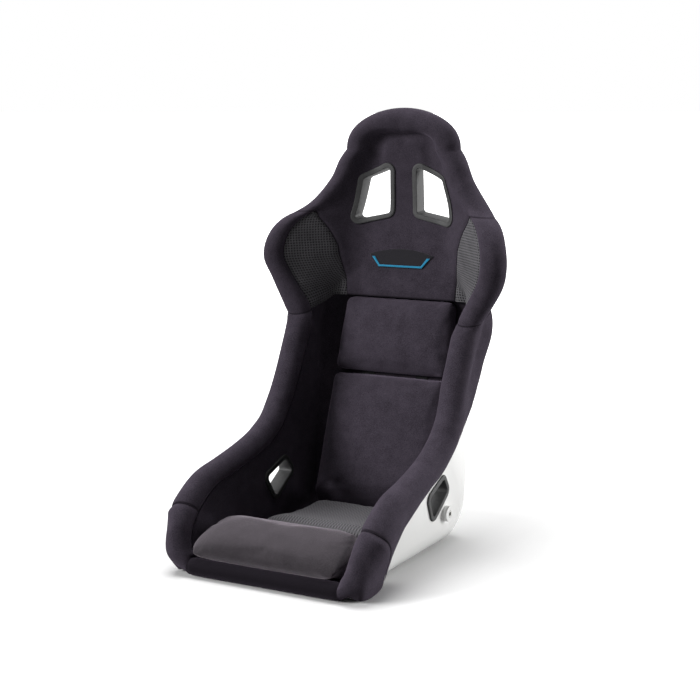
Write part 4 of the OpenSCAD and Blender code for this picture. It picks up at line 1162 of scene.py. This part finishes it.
# ---- Materials ---------------------------------------------------------------------
class Nodes:
    """Small helper for building the nodes of a material or a world."""

    def __init__(self, owner, shader="Principled BSDF"):
        self.owner = owner
        owner.use_nodes = True
        self.tree = owner.node_tree
        self.shader = self.tree.nodes[shader]

    def add(self, kind, **values):
        node = self.tree.nodes.new(kind)
        for key, value in values.items():
            key = key.replace("_", " ") if key[0].isupper() else key
            if key in node.inputs:
                self.put(node.inputs[key], value)
            else:
                setattr(node, key, value)
        return node

    def put(self, socket, value):
        if isinstance(value, bpy.types.NodeSocket):
            self.tree.links.new(value, socket)
        else:
            socket.default_value = value

    def math(self, op, a, b=0.0, c=0.0):
        node = self.add("ShaderNodeMath", operation=op)
        for i, v in enumerate((a, b, c)):
            self.put(node.inputs[i], v)
        return node.outputs[0]

    def times(self, a, b):
        return self.math("MULTIPLY", a, b)

    def axes(self, vector):
        node = self.add("ShaderNodeSeparateXYZ")
        self.put(node.inputs[0], vector)
        return node.outputs

    def waves(self, value, pitch):
        """Sine waves with a given pitch."""
        return self.math("SINE", self.times(value, 2 * math.pi / pitch))

    def noise(self, vector, scale, detail=2.0, rough=0.5):
        node = self.add("ShaderNodeTexNoise", Scale=scale, Detail=detail, Roughness=rough)
        self.put(node.inputs["Vector"], vector)
        return node.outputs["Fac"]

    def ramp(self, value, low, high):
        node = self.tree.nodes.new("ShaderNodeMapRange")
        self.put(node.inputs["Value"], value)
        node.inputs["From Min"].default_value, node.inputs["From Max"].default_value = low, high
        return node.outputs["Result"]

    def mix(self, factor, a, b):
        node = self.tree.nodes.new("ShaderNodeMix")
        node.data_type = "RGBA"
        self.put(node.inputs["Factor"], factor)
        self.put(node.inputs["A"], a)
        self.put(node.inputs["B"], b)
        return node.outputs["Result"]

    def bump(self, height, strength, distance):
        node = self.add("ShaderNodeBump", Strength=strength, Distance=distance, Height=height)
        return node.outputs["Normal"]

    def set(self, **values):
        for key, value in values.items():
            self.put(self.shader.inputs[key.replace("_", " ")], value)

    def place(self):
        return self.add("ShaderNodeTexCoord").outputs["Object"]

    def cloth(self):
        return self.add("ShaderNodeUVMap", uv_map="cloth").outputs["UV"]

    def attribute(self, name):
        return self.add("ShaderNodeAttribute", attribute_name=name).outputs["Fac"]


def grey(v, tint=(1.0, 0.97, 1.04)):
    return (v * tint[0], v * tint[1], v * tint[2], 1)


def material(name):
    return Nodes(bpy.data.materials.new(name))


def velour(name, base, shaded_seams=False, sheen=0.3, tint=(1.1, 0.92, 1.22), glow=0.5):
    """Short-pile knitted cloth over foam: soft nap, fine grain and faint rubbed patches."""
    m = material(name)
    at = m.place()
    nap, grain, pile = m.noise(at, 34, 3, 0.6), m.noise(at, 620, 2, 0.75), m.noise(at, 2100, 1, 0.5)
    shade = m.math("MULTIPLY_ADD", m.ramp(nap, 0.3, 0.7), 0.22, m.times(m.ramp(grain, 0.28, 0.72), 0.55))
    tone = m.mix(m.ramp(shade, 0.05, 0.72), grey(base * 0.5, tint), grey(base * 1.5, tint))
    height = m.math("ADD", m.times(grain, 0.65), m.times(pile, 0.35))
    # Near its seams the cloth turns dark: the dark seam line itself, with painted shade in the seam's
    # crease.
    if shaded_seams:
        seam = m.math("MINIMUM", m.math("ABSOLUTE", m.attribute("side_mm")), m.attribute("end_mm"))
        tone = m.mix(m.ramp(seam, 0.2, 2.4), grey(base * 0.22, tint), tone)
    m.set(Base_Color=tone, Roughness=0.9, Normal=m.bump(height, 0.7, 0.0007), Sheen_Weight=sheen)
    m.set(Sheen_Roughness=0.5, Sheen_Tint=grey(glow, tint), Specular_IOR_Level=0.03)
    return m.owner


def open_mesh(name, base, pitch=0.0052):
    """Knitted spacer mesh with small staggered openings."""
    m = material(name)
    cloth = m.axes(m.cloth())
    hole = m.times(m.waves(cloth[0], 2 * pitch), m.waves(cloth[1], 2.2 * pitch))
    hole = m.ramp(m.math("ABSOLUTE", hole), 0.35, 0.8)
    fibre, nap = m.noise(m.place(), 1500, 2, 0.6), m.noise(m.place(), 40, 2, 0.5)
    both = m.math("MULTIPLY_ADD", nap, 0.5, m.times(fibre, 0.5))
    thread = m.mix(m.ramp(both, 0.3, 0.7), grey(base * 0.8), grey(base * 1.25))
    height = m.math("SUBTRACT", m.times(fibre, 0.2), hole)
    m.set(Base_Color=m.mix(hole, thread, grey(base * 0.22)), Roughness=0.75)
    m.set(Normal=m.bump(height, 0.6, 0.0011), Sheen_Weight=0.2, Sheen_Roughness=0.45)
    m.set(Sheen_Tint=grey(0.5), Specular_IOR_Level=0.05)
    return m.owner


def ribbed(name, base):
    """Cloth with fine raised cords running from front to rear."""
    m = material(name)
    place = m.axes(m.place())
    cord, tick = m.waves(place[0], 0.0062), m.waves(place[1], 0.009)
    both = m.math("MULTIPLY_ADD", m.times(cord, tick), 0.35, m.times(cord, 0.5))
    fibre = m.noise(m.place(), 1200, 2, 0.6)
    level = m.math("ADD", both, m.times(fibre, 0.6))
    height = m.math("ADD", both, m.times(fibre, 0.4))
    tone = m.mix(m.ramp(level, -0.5, 1.1), grey(base * 0.45), grey(base * 1.6))
    m.set(Base_Color=tone, Roughness=0.85, Normal=m.bump(height, 0.6, 0.0012), Sheen_Weight=0.2)
    m.set(Sheen_Roughness=0.45, Sheen_Tint=grey(0.4), Specular_IOR_Level=0.03)
    return m.owner


def gelcoat(name):
    """Glossy white moulded laminate with a very faint ripple and dust."""
    m = material(name)
    ripple, dust = m.noise(m.place(), 45, 2, 0.5), m.noise(m.place(), 700, 3, 0.7)
    tone = m.mix(m.ramp(dust, 0.55, 0.85), (0.92, 0.92, 0.905, 1), (0.86, 0.855, 0.84, 1))
    m.set(Base_Color=tone, Roughness=m.math("MULTIPLY_ADD", dust, 0.12, 0.16))
    m.set(Normal=m.bump(ripple, 0.06, 0.002), Coat_Weight=0.7, Coat_Roughness=0.06, Specular_IOR_Level=0.5)
    return m.owner


def satin_plastic(name, base, rough, shine):
    """Moulded nylon with a fine spark-eroded grain and lighter rubbed patches scattered at random."""
    m = material(name)
    grain, scuff = m.noise(m.place(), 1600, 2, 0.6), m.noise(m.place(), 120, 4, 0.65)
    tone = m.mix(m.ramp(scuff, 0.45, 0.75), grey(base, (1, 1, 1.02)), grey(base * 1.35, (1, 1, 1.02)))
    m.set(Base_Color=tone, Roughness=m.math("MULTIPLY_ADD", scuff, 0.16, rough - 0.08))
    m.set(Normal=m.bump(grain, 0.25, 0.0002), Specular_IOR_Level=shine)
    return m.owner


def woven(name, colour, lift, scale, rough, sheen):
    """Plain close weave, for the patch, the ribbon and the tapes."""
    m = material(name)
    place = m.axes(m.place())
    weave = m.times(m.waves(place[0], scale), m.waves(place[2], scale))
    level = m.math("ADD", m.times(weave, 0.4), m.noise(m.place(), 1500, 2, 0.6))
    m.set(Base_Color=m.mix(m.ramp(level, 0.1, 1.0), colour, lift), Roughness=rough)
    m.set(Normal=m.bump(weave, 0.4, 0.0002), Sheen_Weight=sheen, Specular_IOR_Level=0.1)
    return m.owner


def metal(name):
    """Zinc-plated steel."""
    m = material(name)
    grain = m.noise(m.place(), 900, 3, 0.6)
    tone = m.mix(grain, (0.42, 0.42, 0.4, 1), (0.62, 0.62, 0.6, 1))
    rough = m.math("MULTIPLY_ADD", grain, 0.25, 0.22)
    m.set(Base_Color=tone, Metallic=1.0, Roughness=rough, Normal=m.bump(grain, 0.15, 0.0002))
    return m.owner


gel = gelcoat("white_gelcoat")
cover_cloth = velour("cover_velour", 0.042, True, 0.15)
lining_cloth = velour("lining_velour", 0.034, False, 0.15)
cushion_cloth = velour("cushion_velour", 0.043, False, 0.3)
leg_cloth = velour("leg_velour", 0.034, False, 0.55, tint=(1.06, 0.94, 1.06), glow=0.8)
mesh_cloth = open_mesh("spacer_mesh", 0.115)
rib_cloth = ribbed("ribbed_cloth", 0.105)
nylon = satin_plastic("satin_nylon", 0.045, 0.5, 0.22)
# A darker copy of the same nylon, for the rings deep inside the seat: painted shade.
nylon_in_shade = satin_plastic("nylon_painted_shade", 0.016, 0.6, 0.2)
hook_cloth = woven("hook_tape", (0.012, 0.012, 0.014, 1), (0.03, 0.03, 0.032, 1), 0.0016, 0.8, 0.1)
patch_cloth = woven("patch_cloth", (0.01, 0.0095, 0.012, 1), (0.026, 0.024, 0.03, 1), 0.0012, 0.8, 0.15)
ribbon_cloth = woven("ribbon_cloth", (0.0, 0.16, 0.32, 1), (0.03, 0.36, 0.6, 1), 0.0009, 0.35, 0.2)
zinc = metal("zinc_plate")

# ---- The pieces --------------------------------------------------------------------
BORE_R, BOSS_R, LINING_HOLE_R, ROLL_HOLE_R = 7.3, 15.0, 16, 17.5
BORE_FROM, BORE_TO, HOLE_FROM, HOLE_TO, BOSS_REACH = 165, 215, 150, 220, 21
HELD_PAD, HELD_SEAT, HELD_LEG = 26, 12, 16
COVER_FILL, CUSHION_FILL, SWELL, LEG_SWELL = 0.9, 0.85, 3.0, 3.5

bosses = mount_rods(MOUNT_X - BOSS_REACH, MOUNT_X, BOSS_R, 64)
shell = boolean(shell_mesh("moulded_shell_piece"), bosses, "UNION")
shell = boolean(shell, shoulder_cutters() + belt_cutters() + mount_rods(BORE_FROM, BORE_TO, BORE_R))
place_piece(shell, ["shell"], gel)

lining_holes = belt_cutters() + mount_rods(MOUNT_X - BOSS_REACH - 3, HOLE_TO, LINING_HOLE_R)
lining = boolean(lining_mesh("seat_lining_piece"), lining_holes)
place_piece(lining, ["seat_lining"], lining_cloth)

torso = roll("torso_bolster_piece_left", STITCH + SEAM_CUT, SHOULDER_SEAM - SEAM_CUT)
torso = boolean(torso, [rod(HOLE_FROM, MOUNT_X + 1, MOUNT_Y[1], ROLL_HOLE_R)])
place_pair(torso, "torso_bolster", cover_cloth)
front = boolean(nose("nose_piece_left"), [rod(HOLE_FROM, MOUNT_X + 1, MOUNT_Y[1], ROLL_HOLE_R)])
place_pair(front, "nose", cover_cloth)
wing = roll("wing_bolster_piece_left", SHOULDER_SEAM + SEAM_CUT, WING_TOP - SEAM_CUT)
place_pair(wing, "wing_bolster", cover_cloth)
place_pair(panel_mesh("wing_panel_piece_left"), "wing_panel", mesh_cloth)

head = boolean(cover_mesh("head_cover_piece"), shoulder_cutters())
place_piece(head, ["head_cover"], cover_cloth)
place_piece(front_roll("front_roll_piece"), ["front_roll"], cover_cloth)

for name, z0, z1, r0, r1, ledge in (
    ("back_pad_upper", PAD_JOINT + PAD_SPLIT, PAD_TOP, 12, 16, 0.0),
    ("back_pad_lower", PAD_FOOT, PAD_JOINT - PAD_SPLIT, 26, 12, PAD_LEDGE),
):
    pad = pad_mesh(name + "_piece", z0, z1, r0, r1, ledge)
    pad = inflate(pad, lambda p: p[1] > pad_plane(p[2]) + HELD_PAD, cap=SWELL)
    place_piece(pad, [name], cushion_cloth)

seat = cushion_mesh("seat_cushion_piece", seat_rows(), 6, 14)
seat = inflate(seat, lambda p: p[2] < FLOOR_TOP + HELD_SEAT, cap=SWELL)
place_piece(seat, ["seat_cushion"], rib_cloth)

leg = cushion_mesh("leg_cushion_piece", leg_rows(), 12, 18)
leg = inflate(leg, lambda p: p[2] < FLOOR_TOP + HELD_LEG, cap=LEG_SWELL)
for corner in leg.data.vertices:
    corner.co.x -= LEG_OFF * MM
place_piece(leg, ["leg_cushion"], leg_cloth)

# The lap slots' inner rings and the crotch ring take the darker nylon copy, which paints the shade inside
# the seat.
for name, values in SLOT_PARTS.items():
    ring = slot_part(name + "_piece_left", *values)
    place_pair(ring, name, nylon_in_shade if name == "lap_slot_ring" else nylon)
place_piece(crotch_ring("crotch_slot_frame_piece"), ["crotch_slot_frame"], nylon_in_shade)

place_piece(patch("badge_patch_piece"), ["badge_patch"], patch_cloth)
place_piece(ribbon("badge_ribbon_piece"), ["badge_trim"], ribbon_cloth)

for node, name, cloth in (
    ("threaded_inserts", "inserts", zinc),
    ("back_hook_strips", "hook_tape", hook_cloth),
    ("seat_hook_strips", "hook_tape", hook_cloth),
):
    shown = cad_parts[node]
    shown.data.materials.clear()
    shown.data.materials.append(cloth)

# ---- Stage, light and camera -------------------------------------------------------
scene = bpy.context.scene
scene.view_settings.view_transform = "Standard"

bpy.ops.mesh.primitive_plane_add(size=40, location=(0, 0, -0.0005))
floor = bpy.context.object
floor.name = "stage_floor"
AMBIENT, SHADOW_X, SHADOW_Y = 0.115, 0.19, 0.29


def seen_rays(m):
    """1 for rays that show the stage itself, 0 for rays that only gather light."""
    rays = m.add("ShaderNodeLightPath").outputs
    mirrored_rays = m.math("MAXIMUM", rays["Is Glossy Ray"], rays["Is Transmission Ray"])
    return m.math("MAXIMUM", rays["Is Camera Ray"], mirrored_rays)


def outside_of(m, value, half):
    """How far a coordinate lies beyond a half width."""
    return m.math("MAXIMUM", m.math("SUBTRACT", m.math("ABSOLUTE", value), half), 0.0)


m = material("stage_floor_paint")
seen, spot = seen_rays(m), m.axes(m.place())
beside, before = outside_of(m, spot[0], SHADOW_X), outside_of(m, spot[1], SHADOW_Y)
away = m.math("SQRT", m.math("ADD", m.times(beside, beside), m.times(before, before)))
# Painted light: for camera rays the floor glows, not at all beside the seat and more with distance, so the
# lamps' shadows stay dark near the seat and fade out further away.
glow = m.math("MULTIPLY_ADD", m.ramp(away, 0.02, 0.4), 0.4, m.times(m.ramp(away, 0.5, 2.5), 0.6))
m.set(Base_Color=m.mix(seen, (0.25, 0.25, 0.25, 1), (0.9, 0.9, 0.9, 1)), Roughness=0.9)
m.set(Specular_IOR_Level=0.0, Emission_Color=(1, 1, 1, 1), Emission_Strength=m.times(seen, glow))
floor.data.materials.append(m.owner)

scene.world = bpy.data.worlds.new("studio")
m = Nodes(scene.world, "Background")
m.set(Color=(1, 1, 1, 1), Strength=m.math("MULTIPLY_ADD", seen_rays(m), 1 - AMBIENT, AMBIENT))


def lamp(name, toward, level, spread):
    """Distant soft light: level 1 lights a white face turned to it as white."""
    light = bpy.data.lights.new(name, "SUN")
    light.energy, light.angle = level * math.pi, math.radians(spread)
    obj = bpy.data.objects.new(name, light)
    obj.rotation_euler = (-Vector(toward)).to_track_quat("-Z", "Y").to_euler()
    scene.collection.objects.link(obj)


lamp("key_light", (-0.7, -0.66, 0.4), 0.92, 25)
lamp("top_light", (-0.2, 0.2, 1.0), 0.8, 45)
lamp("right_light", (0.74, 0.64, 0.12), 1.02, 30)

PHOTO_WIDTH, FOCAL_PIXELS, SENSOR = 700, 1584.85, 36
CAMERA_PLACE = Vector((1525.3, -2538.3, 936.3)) * MM
RIGHT, UP, AHEAD = ((0.8622, 0.5062, -0.0212), (-0.0748, 0.1685, 0.9829), (-0.5011, 0.8458, -0.1832))

camera = bpy.data.cameras.new("camera")
camera.sensor_width = SENSOR
camera.lens = FOCAL_PIXELS / PHOTO_WIDTH * SENSOR
camera.dof.use_dof = False
view = bpy.data.objects.new("camera", camera)
turn = Matrix((RIGHT, UP, -Vector(AHEAD))).transposed().to_4x4()
view.matrix_world = Matrix.Translation(CAMERA_PLACE) @ turn
scene.collection.objects.link(view)
scene.camera = view
